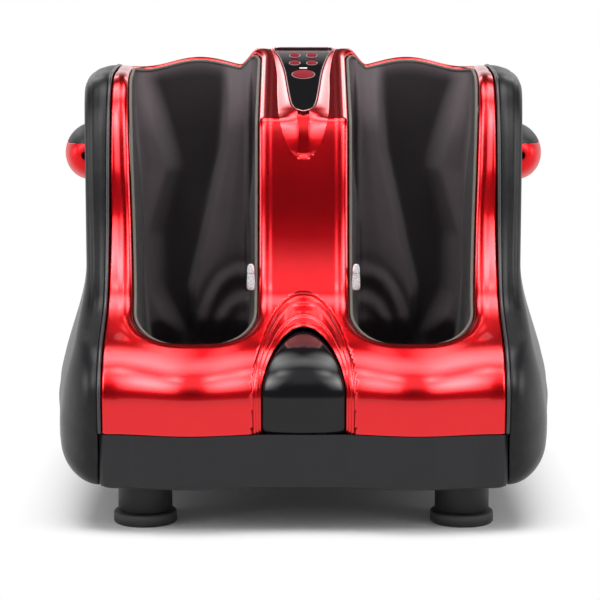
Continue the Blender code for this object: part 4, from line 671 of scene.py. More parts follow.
def crown_lift(x, y, z):
    """Rise of the top over the plain profile: bridge to the console's plane, arched collars, sunk strips."""
    x = np.abs(x)
    window = ramp(y, LIFT_START_Y, LIFT_FULL_Y) * ramp(y, LIFT_END_Y, LIFT_FADE_Y)
    across = np.minimum(np.abs(x - COLLAR_X) / COLLAR_HALF_WIDTH, 1.0)
    arch = COLLAR_ARCH * np.cos(across * math.pi / 2) ** 2 * ramp(y, RISE_START_Y, RISE_TOP_Y)
    collar = window * (-COLLAR_SINK + arch)
    up = np.minimum((y - PANEL_TIP_Y) / (PANEL_TOP_Y - PANEL_TIP_Y), 1.0)
    plane = PANEL_TIP_Z - BRIDGE_SINK + (PANEL_TOP_Z - BRIDGE_TOP_SINK - PANEL_TIP_Z + BRIDGE_SINK) * up
    lower = np.clip(0.5 + (z - plane) / (2 * BRIDGE_SHOULDER), 0, 1)
    shoulder = (plane - z) * lower - BRIDGE_SHOULDER * lower * (1 - lower)
    shoulder = shoulder + (plane - z - shoulder) * ramp(y, BRIDGE_FRONT_Y, BRIDGE_MIDDLE_Y)
    ends = ramp(y, FRONT_END_SHARE * BODY_DEPTH, PANEL_TOP_Y + BRIDGE_REAR_MARGIN)
    bridge = ramp(x, BRIDGE_EDGE_X, BRIDGE_FLAT_X)
    return collar * (1 - bridge) + shoulder * ends * bridge


def skin_line(x, s):
    """Depth and height of the body at x, at length s along the plain profile, with swell and lift."""
    y, z = (np.interp(s, BODY_LENGTHS, row) for row in BODY.T)
    return y - toe_swell(x, z), z + crown_lift(x, y, z)


def skin(x, s, height=0.0):
    """A point of the body at x and length s, raised along the normal of its line in the plane of x."""
    y, z = skin_line(x, s)
    ahead, behind = skin_line(x, s + NORMAL_STEP), skin_line(x, s - NORMAL_STEP)
    along_y, along_z = ahead[0] - behind[0], ahead[1] - behind[1]
    run = np.hypot(along_y, along_z)
    return np.stack((x + 0 * y, y - along_z / run * height, z + along_y / run * height), axis=-1)


# Outlines in width and length along the profile

def corner_round(before, corner, after, radius, steps):
    """A quarter-round as a cubic curve through the corner's two tangents."""
    start = corner + (before - corner) / np.linalg.norm(before - corner) * radius
    end = corner + (after - corner) / np.linalg.norm(after - corner) * radius
    pull = 4 / 3 * (math.sqrt(2) - 1)
    first, second = start + (corner - start) * pull, end + (corner - end) * pull
    t = np.linspace(0, 1, steps + 1)[:, None]
    return start * (1 - t) ** 3 + first * 3 * t * (1 - t) ** 2 + second * 3 * t * t * (1 - t) + end * t ** 3


ARC_STEPS = 30
STRAIGHT_STEPS = (30, 90, 30, 90)


def rounded_quad(corners, radii):
    """Closed outline with four rounded corners, the same count whatever the sizes."""
    corners = [np.array(c, float) for c in corners]
    arcs = [corner_round(corners[k - 1], corners[k], corners[(k + 1) % 4], radii[k], ARC_STEPS)
            for k in range(4)]
    parts = []
    for k in range(4):
        share = np.linspace(0, 1, STRAIGHT_STEPS[k] + 2)[1:-1, None]
        parts += [arcs[k], arcs[k][-1] + (arcs[(k + 1) % 4][0] - arcs[k][-1]) * share]
    return np.vstack(parts)


def outer_quad(inner, low, high):
    """For each point of a rounded quad, the point that it runs out to on a rectangle."""
    corners = np.array(((low[0], low[1]), (high[0], low[1]), (high[0], high[1]), (low[0], high[1])))
    parts, index = [], 0
    turn = np.linspace(-1, 1, ARC_STEPS + 1)[:, None]
    for k in range(4):
        start, end = inner[index], inner[index + ARC_STEPS]
        along_x = k in (1, 3)
        on_last = np.array((start[0], corners[k][1])) if along_x else np.array((corners[k][0], start[1]))
        on_next = np.array((corners[k][0], end[1])) if along_x else np.array((end[0], corners[k][1]))
        parts.append(corners[k] + (on_last - corners[k]) * np.maximum(-turn, 0)
                     + (on_next - corners[k]) * np.maximum(turn, 0))
        index += ARC_STEPS + 1
        straight = inner[index:index + STRAIGHT_STEPS[k]].copy()
        straight[:, 0 if along_x else 1] = corners[k][0 if along_x else 1]
        parts.append(straight)
        index += STRAIGHT_STEPS[k]
    return np.vstack(parts)


def ring_distance(points, ring):
    """Distance from each point to a closed line."""
    nearest = np.full(len(points), np.inf)
    for a, b in zip(ring, np.roll(ring, -1, axis=0)):
        side = b - a
        share = np.clip(((points - a) @ side) / (side @ side), 0, 1)
        nearest = np.minimum(nearest, np.linalg.norm(points - a - share[:, None] * side, axis=1))
    return nearest


def trim(points, faces, clearance):
    """Cuts a hole out of a grid: corners beside its edge move onto it, where clearance(points) crosses 0."""
    space = clearance(points)
    edges = np.vstack([faces[:, (k, (k + 1) % 4)] for k in range(4)])
    edges = edges[space[edges[:, 0]] * space[edges[:, 1]] < 0]
    near = np.abs(space[edges[:, 0]]) < np.abs(space[edges[:, 1]])
    mover = np.where(near, edges[:, 0], edges[:, 1])
    other = np.where(near, edges[:, 1], edges[:, 0])
    share = space[mover] / (space[mover] - space[other])
    target = points[mover] + (points[other] - points[mover]) * share[:, None]
    order = np.argsort(-np.linalg.norm(target - points[mover], axis=1))
    points, space = points.copy(), space.copy()
    points[mover[order]] = target[order]
    space[mover] = 0.0
    inside = space[faces] < 0
    centre = clearance(points[faces].mean(axis=1))
    whole = ~inside.any(axis=1) & ~((space[faces] == 0).all(axis=1) & (centre < 0))
    kept = [faces[whole]]
    for k in range(4):
        half = inside[:, k] & (inside.sum(axis=1) == 1) & (space[faces[:, (k + 2) % 4]] > 0)
        kept.append(faces[half][:, [(k + 1) % 4, (k + 2) % 4, (k + 3) % 4, (k + 3) % 4]])
    return points, np.vstack(kept)


def arch_clearance(x, z, half_width, top):
    """About how far a point lies outside an arch with an elliptical top, seen from the front."""
    rise = top - ARCH_SPRING_Z
    above = np.maximum(z - ARCH_SPRING_Z, 0)
    round_part = np.hypot(x / half_width, above / rise)
    return (round_part - 1) * half_width


def seen_height(y, z):
    """Height of a point in the view from the front, as a far camera at the photograph's elevation sees it."""
    return z * math.cos(CAMERA_ELEVATION) + y * math.sin(CAMERA_ELEVATION)


def fin_width(seen):
    """Half width between the fins' feet at a height in the view from the front, and -1 past their ends."""
    line = catmull(np.column_stack((FIN_SEEN_HEIGHTS, FIN_HALF_WIDTHS)), FIN_CURVE_STEPS)
    return np.interp(seen, line[:, 0], line[:, 1], left=-1.0, right=-1.0)


def bridge_lengths():
    """Lengths along the profile from under the nose over the bridge, and their heights in the front view."""
    low = float(length_at_height(NOSE_END_Z)) - BRIDGE_LINE_MARGIN
    s = np.linspace(low, FRONT_LENGTH, BRIDGE_LINE_POINTS)
    return s, np.maximum.accumulate(seen_height(*skin_line(BRIDGE_LINE_X, s)))


def fin_foot(s):
    """Half width of the fins' feet at a length along the profile."""
    lengths, seen = bridge_lengths()
    return np.where(s < lengths[0], -1.0, fin_width(np.interp(s, lengths, seen)))


# The red front shell

def well_ring(inset=0.0):
    low, high = WELL_LOW_ARC + inset, FRONT_LENGTH - WELL_REAR_MARGIN - inset
    corners = [(WELL_INNER_X + inset, low), (WELL_OUTER_LOW_X - inset, low),
               (WELL_OUTER_HIGH_X - inset, high), (WELL_INNER_X + inset, high)]
    return rounded_quad(corners, (WELL_LOW_RADIUS, WELL_LOW_RADIUS, WELL_HIGH_RADIUS, WELL_HIGH_RADIUS))


def lip_radius(s):
    return LIP_LOW_RADIUS + (LIP_RADIUS - LIP_LOW_RADIUS) * ease((s - WELL_LOW_ARC) / LIP_EASE_LENGTH)


def quarter_drop(distance, radius):
    """Depth of a quarter-round edge at a distance from its rim."""
    inside = np.clip(radius - distance, 0, radius)
    return radius - np.sqrt(np.maximum(radius ** 2 - inside ** 2, 0))


def shell_relief(points, ring):
    """Height over the plain skin: rolled lip and its ridge at the well, rounded outer edge."""
    x, s = points.T
    away = ring_distance(points, ring)
    radius = lip_radius(s)
    ridge = LIP_RIDGE * (1 - ease(np.abs(away - radius - LIP_RIDGE_WIDTH / 2) / LIP_RIDGE_WIDTH))
    edge = np.minimum(SHELL_HALF_WIDTH - x, np.minimum(s, FRONT_LENGTH - s) + EDGE_RADIUS / 2)
    return ridge - quarter_drop(away, radius) - quarter_drop(edge, EDGE_RADIUS) - strip_drop(x, s)


def strip_drop(x, s):
    """How far the strip beside a well falls away towards the shell's outer edge, as a parabola across it."""
    z = profile_height(s)
    low = ramp(z, STRIP_HIGH_Z, STRIP_LOW_Z) * ramp(z, TOE_TOP_Z, STRIP_LOW_Z)
    across = np.clip((x - WELL_OUTER_LOW_X) / (SHELL_HALF_WIDTH - WELL_OUTER_LOW_X), 0, 1)
    drop = STRIP_HIGH_DROP + (STRIP_LOW_DROP - STRIP_HIGH_DROP) * low
    return drop * across ** 2 * ease((z - TOE_FULL_Z) / STRIP_EASE_HEIGHT)


# Rings of the shell's grid: how many lie over the lip, and how the others close up towards the outer edge
LIP_RINGS = 14
SHELL_RINGS = 46
LIP_REACH = 0.0125
LIP_REACH_SHARE = 0.6
RING_CLOSING = 1.4


def make_red_shell():
    """Rings from the well's rim out to a rectangle: even over the lip, then closing up to the outer edge."""
    ring = well_ring()
    edge = outer_quad(ring, (0.0, 0.0), (SHELL_HALF_WIDTH, FRONT_LENGTH))
    reach = np.linalg.norm(edge - ring, axis=1)
    lip = np.minimum(LIP_REACH, LIP_REACH_SHARE * reach)
    row = np.arange(SHELL_RINGS)[:, None]
    beyond = np.clip((row - LIP_RINGS) / (SHELL_RINGS - 1 - LIP_RINGS), 0, 1)
    out = np.minimum(row / LIP_RINGS, 1) * lip + (reach - lip) * (1 - (1 - beyond) ** RING_CLOSING)
    points = ring + (edge - ring) * (out / reach)[:, :, None]
    faces = grid_faces(SHELL_RINGS, len(ring), wrap=True)

    def clearance(p):
        arch = arch_clearance(p[:, 0], profile_height(p[:, 1]), ARCH_HALF_WIDTHS[-1], ARCH_TOPS_Z[-1])
        return np.minimum(arch, p[:, 0] - fin_foot(p[:, 1]) + FIN_HOLE_MARGIN)

    flat, faces = trim(points.reshape(-1, 2), faces, clearance)
    right = skin(flat[:, 0], flat[:, 1], shell_relief(flat, ring))
    both, faces = mirrored(right, turned_out(right, faces))
    return dress(walled("red_shell", both, faces, SHELL_WALL), "red_shell", replaces=("front_shell",))


def arch_lines():
    """The insert's edge and the edges of the steps round it, from the left foot over the top to the right."""
    straight = np.linspace(0, 1, ARCH_LEG_POINTS + 1)[:-1]
    turn = np.linspace(0, math.pi, ARCH_POINTS - 2 * ARCH_LEG_POINTS)
    up = SPLIT_Z + GAP + (ARCH_SPRING_Z - SPLIT_Z - GAP) * straight
    lines = []
    for half_width, top in zip(ARCH_HALF_WIDTHS, ARCH_TOPS_Z):
        left = np.stack((-half_width + 0 * up, up), axis=1)
        height = ARCH_SPRING_Z + (top - ARCH_SPRING_Z) * np.sin(turn)
        over = np.stack((-half_width * np.cos(turn), height), axis=1)
        lines.append(np.vstack((left, over, (left * (-1, 1))[::-1])))
    return np.array(lines)


def front_at_height(x, z, height):
    return skin(x, length_at_height(z), height)


def make_arch_steps():
    """Three terraces round the insert, each lower than the last, with rounded risers between them."""
    lines = arch_lines()
    across = np.linspace(0, len(lines) - 1 + ARCH_OVERLAP_SHARE, ARCH_STEP_ROWS)
    whole = np.minimum(across.astype(int), len(lines) - 2)
    flat = lines[whole] + (lines[whole + 1] - lines[whole]) * (across - whole)[:, None, None]
    riser = ease((across % 1.0) / ARCH_RISER_SHARE)
    height = -ARCH_STEP * (len(lines) - np.floor(across) - riser)
    height[-1] = -ARCH_STEP
    crown = ARCH_CROWN * (1 - (flat[..., 0] / ARCH_HALF_WIDTHS[0]) ** 2)
    crown = crown * ease((flat[..., 1] - ARCH_SPRING_Z) / ARCH_CROWN_RISE)
    crown = crown * (1 - (across[:, None] / across[-1]) ** 4)
    points = front_at_height(flat[..., 0], flat[..., 1], height[:, None] + crown).reshape(-1, 3)
    faces = turned_out(points, grid_faces(ARCH_STEP_ROWS, lines.shape[1]))
    return dress(walled("arch_steps", points, faces, SHELL_WALL, sharp=math.radians(60)), "red_shell")


def make_arch_insert():
    """The black insert bulges out from its edge: rings of the arch drawn in to the foot of its middle."""
    line = arch_lines()[0] * (1 - INSERT_GAP_SHARE, 1)
    share = np.linspace(0, 1, INSERT_ROWS)[:, None, None]
    heart = np.stack((0 * line[:, 0], np.minimum(line[:, 1], ARCH_SPRING_Z)), axis=1)
    flat = line + (heart - line) * share
    rise = np.sqrt(np.clip(1 - (1 - share[..., 0]) ** 2, 0, 1))
    low = ease((flat[..., 1] - SPLIT_Z) / INSERT_FOOT_HEIGHT)
    bulge = INSERT_BULGE * rise * (INSERT_FOOT_SHARE + (1 - INSERT_FOOT_SHARE) * low)
    height = -len(ARCH_TOPS_Z) * ARCH_STEP + bulge
    points = front_at_height(flat[..., 0], flat[..., 1], height).reshape(-1, 3)
    faces = turned_out(points, grid_faces(INSERT_ROWS, len(line)))
    insert = walled("arch_insert_skin", points, faces, SHELL_WALL)
    return dress(insert, "black_gloss", replaces=("arch_insert",))


# The console

PANEL_SLOPE = math.atan2(PANEL_TOP_Z - PANEL_TIP_Z, PANEL_TOP_Y - PANEL_TIP_Y)
PANEL_LENGTH = math.hypot(PANEL_TOP_Z - PANEL_TIP_Z, PANEL_TOP_Y - PANEL_TIP_Y)


def on_panel(x, length, height):
    """A point over the console's sloping plane."""
    cos, sin = math.cos(PANEL_SLOPE), math.sin(PANEL_SLOPE)
    x, length, height = np.broadcast_arrays(x, length, height)
    y = PANEL_TIP_Y + length * cos - height * sin
    return np.stack((x, y, PANEL_TIP_Z + length * sin + height * cos), axis=-1)


def panel_half(count):
    """The V's right edge from the tip to the middle of its top, as evenly spaced points."""
    shares = zip(PANEL_WIDTH_SHARES, PANEL_LENGTH_SHARES)
    knots = [(w * PANEL_HALF_WIDTH, t * PANEL_LENGTH) for w, t in shares]
    line = np.vstack(([(0, 0)], catmull(knots[1:], PANEL_CURVE_STEPS), [(0, knots[-1][1])]))
    return rounded(resampled(line, count), PANEL_ROUNDING_STEPS)


def make_console_rim():
    """A pale bead round the V, half sunk beside the panel: circles across the V's line."""
    half = panel_half(RIM_POINTS)
    ring = np.vstack((half, (half * (-1, 1))[-2:0:-1]))
    ahead = np.roll(ring, -1, axis=0) - np.roll(ring, 1, axis=0)
    normal = np.stack((ahead[:, 1], -ahead[:, 0]), axis=1) / np.linalg.norm(ahead, axis=1)[:, None]
    turn = circle_angles(RIM_SIDES)[:, None]
    flat = ring + normal * (RIM_BEAD_OFFSET + RIM_BEAD_RADIUS * np.cos(turn)[..., None])
    points = on_panel(flat[..., 0], flat[..., 1], RIM_BEAD_HEIGHT + RIM_BEAD_RADIUS * np.sin(turn))
    faces = grid_faces(RIM_SIDES, len(ring), wrap=True, close=True)
    rim = closed(mesh_object("console_rim", points.reshape(-1, 3), faces))
    return dress(rim, "rim")


def front_point(x, seen, depth):
    """A point from its place in the view from the front: x, seen height, and depth away from the camera."""
    cos, sin = math.cos(CAMERA_ELEVATION), math.sin(CAMERA_ELEVATION)
    x, seen, depth = np.broadcast_arrays(x, seen, depth)
    return np.stack((x, depth * cos + seen * sin, seen * cos - depth * sin), axis=-1)


def seen_depth(y, z):
    """Depth of a point in the view from the front."""
    return y * math.cos(CAMERA_ELEVATION) - z * math.sin(CAMERA_ELEVATION)


def hermite(t, ends, slopes):
    """A cubic between two ends with given slopes."""
    return (ends[0] * (1 + 2 * t) * (1 - t) ** 2 + slopes[0] * t * (1 - t) ** 2
            + ends[1] * t * t * (3 - 2 * t) - slopes[1] * t * t * (1 - t))


# Fins: rows and columns of their grid, the edge of the valley between them, and the skirt under the bridge
FIN_ROWS = 164
FIN_COLUMNS = 18
VALLEY_COLUMNS = 4
FIN_WALL = 0.0010
FIN_STAND = 0.0002
FIN_LEAST_WIDTH = 0.0008
FIN_TIP_EASE = 0.006
FIN_SMOOTHING_STEPS = 2
PANEL_EDGE_POINTS = 600
PANEL_TOP_MARGIN = 0.0005
PANEL_COVER_START = 0.006
PANEL_COVER_DEPTH = 0.0040
VALLEY_EASE = 0.008
VALLEY_WALL_WIDTH = 0.0008
CREST_LIP_WIDTH = 0.0003
CREST_LIP_SHARE = 0.12
SKIRT_WIDTH = 0.0006
SKIRT_DEPTH = 0.0024


def fin_crest(seen, skin_depth):
    """Half width and depth of the fins' inner edge: up the nose as a cubic, then along the panel's edge."""
    ends = ((PANEL_TIP_Y, PANEL_TIP_Z), (PANEL_TOP_Y, PANEL_TOP_Z))
    tip, top = (seen_height(*end) for end in ends)
    tip_depth, top_depth = (seen_depth(*end) for end in ends)
    up = np.clip((seen - tip) / (top - tip), 0, 1)
    edge = panel_half(PANEL_EDGE_POINTS)
    edge = edge[:int(np.argmax(edge[:, 1])) + 1]
    length = up * (PANEL_LENGTH - PANEL_TOP_MARGIN)
    half = np.interp(length, np.maximum.accumulate(edge[:, 1]), edge[:, 0]) + FIN_GROOVE
    half = np.where(seen > tip, np.maximum(half, VALLEY_HALF_WIDTH), VALLEY_HALF_WIDTH)
    half = half * ease((seen - seen[0]) / FIN_TIP_EASE)
    rise = tip - seen[0]
    nose = hermite(np.clip((seen - seen[0]) / rise, 0, 1), (skin_depth[0], tip_depth),
                   (NOSE_LOW_SLOPE * rise, NOSE_TIP_SLOPE * rise))
    depth = np.where(seen > tip, tip_depth + (top_depth - tip_depth) * up, nose)
    smooth = np.ones(2 * FIN_SMOOTHING_STEPS + 1) / (2 * FIN_SMOOTHING_STEPS + 1)
    half, depth = (np.convolve(np.pad(row, FIN_SMOOTHING_STEPS, mode="edge"), smooth, "valid")
                   for row in (half, depth))
    half[0], depth[0] = 0.0, skin_depth[0]
    return half, depth, tip


def make_console_fins():
    """Two flanks between the panel's edge and the bridge, and under its tip a nose with a valley down it."""
    seen = np.linspace(FIN_SEEN_HEIGHTS[0] - NOSE_TUCK_LENGTH, FIN_SEEN_HEIGHTS[-1], FIN_ROWS)
    lengths, heights = bridge_lengths()
    s = np.interp(seen, heights, lengths)
    _, skin_y, skin_z = skin(np.full(len(s), BRIDGE_LINE_X), s, FIN_STAND).T
    skin_depth = seen_depth(skin_y, skin_z)
    crest_x, crest_depth, tip = fin_crest(seen, skin_depth)
    tucked = NOSE_TUCK * (1 - ease((seen - seen[0]) / NOSE_TUCK_LENGTH))
    skin_depth, crest_depth = skin_depth + tucked, crest_depth + tucked
    foot_x = np.maximum(fin_width(np.maximum(seen, FIN_SEEN_HEIGHTS[0])), crest_x + FIN_LEAST_WIDTH)
    share = np.linspace(0, 1, FIN_COLUMNS)[:, None]
    flank = front_point(crest_x + (foot_x - crest_x) * share, seen,
                        crest_depth + (skin_depth - crest_depth) * share ** FIN_BEND)
    skirt = front_point(foot_x + SKIRT_WIDTH, seen, skin_depth + SKIRT_DEPTH)
    covered = seen > tip + PANEL_COVER_START
    sunk = np.where(covered, PANEL_COVER_DEPTH, VALLEY_DEPTH * ease((seen - seen[0]) / VALLEY_EASE))
    inner_x = np.maximum(crest_x - VALLEY_WALL_WIDTH, 0)
    inner = front_point(inner_x, seen, crest_depth + sunk)
    lip = front_point(crest_x - CREST_LIP_WIDTH * (crest_x > 0), seen, crest_depth + CREST_LIP_SHARE * sunk)
    across = np.linspace(0, 1, VALLEY_COLUMNS + 1)[:-1, None]
    floor = front_point(inner_x * across, seen, crest_depth + sunk)
    half = np.concatenate((floor, inner[None], lip[None], flank, skirt[None]))
    points = half.reshape(-1, 3)
    faces = grid_faces(len(half), len(seen))
    column, level = faces[:, 0] % len(seen), faces[:, 0] // len(seen)
    faces = turned_out(points, faces[~((level < VALLEY_COLUMNS) & covered[column])])
    fins = walled("console_fins", *mirrored(points, faces), FIN_WALL)
    return dress(fins, "red_shell", replaces=("console_surround",))


def turned(name, profile, sides, place_at):
    """A profile of radius and height turned round its axis, put in place by a function of x, y and height."""
    radius, height = (np.array(row) for row in zip(*profile))
    angle = circle_angles(sides)
    x, y = radius[:, None] * np.cos(angle), radius[:, None] * np.sin(angle)
    points = place_at(x, y, height[:, None] + 0 * x).reshape(-1, 3)
    faces = grid_faces(len(profile), sides, wrap=True)
    return closed(mesh_object(name, points, faces, sharp=math.radians(50)))


# Buttons: place across, share of the panel's length, and radius
BUTTONS = {"power_button": (0.0, 0.56, 0.0095), "foot_button": (-0.0078, 0.745, 0.0042),
           "calf_button": (0.0078, 0.745, 0.0042), "mode_button": (-0.0078, 0.87, 0.0042),
           "speed_button": (0.0078, 0.87, 0.0042)}
BUTTON_SIDES = 48
STEM_LENGTH = 0.0085

# The cap's dome, as shares of its radius and heights, and its edge's round
CAP_DOME = ((0.0, 0.0019), (0.5, 0.0017), (0.82, 0.0013))
CAP_EDGE_RADIUS = 0.0007
CAP_EDGE_Z = 0.0004
CAP_EDGE_STEPS = 6

# The printed ring: distances from the cap, and heights over the panel
RING_INNER = 0.0004
RING_OUTER = 0.0010
RING_FOOT = 0.00003
RING_TOP = 0.00022


def make_buttons():
    """Domed caps with a soft edge, each over a stem, and a pale ring printed on the panel round it."""
    for name, (x, share, radius) in BUTTONS.items():
        def put(a, b, h, x=x, length=share * PANEL_LENGTH):
            return on_panel(x + a, length + b, h)

        profile = [(radius * part, height) for part, height in CAP_DOME]
        profile += [(radius - CAP_EDGE_RADIUS + CAP_EDGE_RADIUS * math.sin(t),
                     CAP_EDGE_Z + CAP_EDGE_RADIUS * math.cos(t))
                    for t in np.linspace(0, math.pi / 2, CAP_EDGE_STEPS)]
        profile += [(radius, -STEM_LENGTH), (0.0, -STEM_LENGTH)]
        cap = turned(f"{name}_cap", profile, BUTTON_SIDES, put)
        dress(cap, "red_button", body=name, replaces=(name,))
        inner, outer = radius + RING_INNER, radius + RING_OUTER
        ring = [(inner, RING_FOOT), (inner, RING_TOP), (outer, RING_TOP), (outer, RING_FOOT),
                (inner, RING_FOOT)]
        dress(turned(f"{name}_ring", ring, BUTTON_SIDES, put), "print")


# The rear cover

# Holes for the inlet and the switch: place across, half width and half height
INLET_Z = 0.116
REAR_HOLES = ((-0.100, 0.014, 0.011), (-0.062, 0.0105, 0.015))
REAR_ROWS = 90
REAR_COLUMNS = 160
REAR_SEAM_DEPTH = 0.0008
REAR_SEAM_WIDTH = 0.002


def make_rear_cover():
    """The profile's rear, swept across, with rounded side edges and the two housings' holes."""
    s = np.linspace(FRONT_LENGTH + GAP, BODY_LENGTHS[-1], REAR_ROWS)[:, None]
    x = SHELL_HALF_WIDTH * np.sin(np.linspace(-1, 1, REAR_COLUMNS) * math.pi / 2)[None, :]
    flat = np.stack(np.broadcast_arrays(x, s), axis=-1).reshape(-1, 2)

    def clearance(p):
        z = profile_height(p[:, 1])
        return np.min([np.maximum(np.abs(p[:, 0] - at) - half, np.abs(z - INLET_Z) - high)
                       for at, half, high in REAR_HOLES], axis=0)

    flat, faces = trim(flat, grid_faces(REAR_ROWS, REAR_COLUMNS), clearance)
    edge = SHELL_HALF_WIDTH - np.abs(flat[:, 0])
    seam = REAR_SEAM_DEPTH * np.exp(-((flat[:, 1] - FRONT_LENGTH) / REAR_SEAM_WIDTH) ** 2)
    points = skin(flat[:, 0], flat[:, 1], -quarter_drop(edge, EDGE_RADIUS) - seam)
    cover = walled("rear_cover_skin", points, turned_out(points, faces), SHELL_WALL)
    return dress(cover, "black_leather", replaces=("rear_cover",))


# The padded sides

def side_outline():
    """Closed outline of the side: up the front, down the rear and back along the bottom."""
    toe, heel = BODY[0], BODY[-1]
    bottom = FLOOR_CLEARANCE + GAP
    corners = np.array((toe, (toe[0] + TRAY_ROUNDING, bottom), (heel[0] - TRAY_ROUNDING, bottom), heel))
    toe_arc, heel_arc = (corner_round(*corners[k:k + 3], SIDE_BOTTOM_RADIUS, SIDE_CORNER_STEPS)
                         for k in (0, 1))
    return np.vstack((BODY, heel_arc[::-1], toe_arc[::-1], [toe]))


def upper_side_x(y):
    return SIDE_UPPER_X - SIDE_CROWN * ((y - SIDE_MIDDLE_Y) / SIDE_CROWN_LENGTH) ** 2


def bulge_share(z):
    return ramp(z, BULGE_TOP_Z, BULGE_FULL_Z)


def side_x(y, z):
    return upper_side_x(y) + (BODY_WIDTH / 2 - SIDE_UPPER_X) * bulge_share(z)


SIDE_COLUMNS = 320
ROUNDING_ROWS = 22
INNER_ROWS = 30
SIDE_CORNER_STEPS = 12
SIDE_LIFT_Z = 0.30
SIDE_LIFT_HEIGHT = 0.05

# The sewn grooves: how far in from the seam, and their form
SEWING_INSETS = (0.0016, 0.0052)
SEWING_WIDTH = 0.0009
SEWING_DEPTH = 0.0007
SEWING_LOW_Z = 0.13
SEWING_EASE = 0.06

# The puckers: where they lie, and how they wander
PUCKER_Z = 0.095
PUCKER_BAND = 0.035
PUCKER_INSET = 0.02
PUCKER_HEIGHT = 0.0006
PUCKER_LENGTH = 0.060
PUCKER_RISE = 0.05
PUCKER_WANDER = 6
PUCKER_WANDER_TURN = 19
PUCKER_LEAN = 21


def side_points():
    """Polar grid of the right side: from the outline, over the padded edge, in to its heart."""
    edge = resampled(side_outline(), SIDE_COLUMNS + 1)[:-1]
    heart = np.array((SIDE_HEART_Y, SIDE_HEART_Z))
    reach = np.linalg.norm(heart - edge, axis=1)
    rounding = SIDE_UPPER_ROUNDING + (SIDE_LOWER_ROUNDING - SIDE_UPPER_ROUNDING) * bulge_share(edge[:, 1])
    angle = np.linspace(0, math.pi / 2, ROUNDING_ROWS)[:, None]
    inset = rounding * (1 - np.cos(angle))
    rise = np.sin(angle) + 0 * inset
    inner = np.linspace(0, 1, INNER_ROWS + 1)[1:, None]
    inset = np.vstack((inset, rounding + (reach - rounding) * inner))
    rise = np.vstack((rise, np.ones((INNER_ROWS, SIDE_COLUMNS))))
    flat = edge + (heart - edge) * (inset / reach)[..., None]
    y, z = flat[..., 0], flat[..., 1]
    x = SIDE_SEAM_X + (side_x(y, z) - SIDE_SEAM_X) * rise
    x = x - side_seams(z, inset) + side_puckers(y, z, inset)
    lift = crown_lift(SHELL_HALF_WIDTH, y, z) * ease((z - SIDE_LIFT_Z) / SIDE_LIFT_HEIGHT)
    return np.stack((x, y, z + lift), axis=-1)


def side_seams(z, inset):
    """Two sewn grooves that follow the seam, between low padded ribs."""
    groove = sum(np.exp(-((inset - at) / SEWING_WIDTH) ** 2) for at in SEWING_INSETS)
    return SEWING_DEPTH * groove * ease((z - SEWING_LOW_Z) / SEWING_EASE)


def side_puckers(y, z, inset):
    """Soft puckers of the covering where the bulge is drawn down to the base."""
    near = np.exp(-((z - PUCKER_Z) / PUCKER_BAND) ** 2) * ease(inset / PUCKER_INSET)
    along = np.sin(y * 2 * math.pi / PUCKER_LENGTH + PUCKER_WANDER * np.sin(y * PUCKER_WANDER_TURN))
    wave = along * np.sin(z * 2 * math.pi / PUCKER_RISE + y * PUCKER_LEAN)
    return PUCKER_HEIGHT * near * wave - PUCKER_HEIGHT * near


def make_sides():
    grid = side_points()
    faces = grid_faces(len(grid), SIDE_COLUMNS, wrap=True)
    for name, side in SIDES:
        points = (grid * (side, 1, 1)).reshape(-1, 3)
        side_piece = walled(f"side_padding_{name}", points, turned_out(points, faces), SIDE_WALL)
        dress(side_piece, "black_leather", replaces=(f"side_shell_{name}",))


def bead(name, path, normal, radius, finish, replaces=()):
    """A round bead in the YZ plane: circles in the plane of X and the path's normal."""
    obj = tube(name, path, normal, np.array((1.0, 0.0, 0.0)), radius, BEAD_SIDES)
    return dress(obj, finish, replaces=replaces)


def make_piping():
    s = np.linspace(PIPING_END, BODY_LENGTHS[-1] - PIPING_END, PIPING_POINTS)
    ty, tz = (np.interp(s, BODY_LENGTHS, row) for row in BODY_TANGENTS.T)
    normal = np.stack((0 * s, -tz, ty), axis=1)
    for name, side in SIDES:
        x = side * (SHELL_HALF_WIDTH + GAP + PIPING_RADIUS)
        path = skin(x + 0 * s, s, -PIPING_SINK)
        bead(f"piping_{name}", path, normal, PIPING_RADIUS, "piping", replaces=(f"side_piping_{name}",))


# Handles

def make_handles():
    """One dome parted on a level plane: the black grip above, the red cover below."""
    u = np.linspace(HANDLE_END_SHARE, 1 - HANDLE_END_SHARE, HANDLE_COLUMNS)[None, :]
    fullness = np.sin(u * math.pi) ** HANDLE_FULLNESS
    part = np.arcsin(np.clip((HANDLE_SPLIT_Z - HANDLE_Z) / (HANDLE_HALF_HEIGHT * fullness), -1, 1))
    v = np.linspace(0, 1, HANDLE_ROWS)[:, None]
    halves = (("grip", part + HANDLE_JOINT_ANGLE, math.pi / 2, "black_plastic", "black_plastic"),
              ("cover", -math.pi / 2, part - HANDLE_JOINT_ANGLE, "red_satin", "red_shell"))
    for name, side in SIDES:
        for piece, low, high, finish, slot in halves:
            angle = low + (high - low) * v + 0 * u
            y = HANDLE_Y - HANDLE_HALF_LENGTH * np.cos(u * math.pi) + 0 * v
            z = HANDLE_Z + HANDLE_HALF_HEIGHT * fullness * np.sin(angle)
            reach = (HANDLE_REACH + HANDLE_SINK) * fullness * np.cos(angle)
            points = np.stack((side * (SIDE_UPPER_X - HANDLE_SINK + reach), y, z), axis=-1).reshape(-1, 3)
            faces = turned_out(points, grid_faces(HANDLE_ROWS, HANDLE_COLUMNS), (0, HANDLE_Y, HANDLE_Z))
            obj = walled(f"handle_{piece}_skin_{name}", points, faces, HANDLE_WALL)
            dress(obj, finish, replaces=(f"handle_{piece}_{name}",))


# Liners

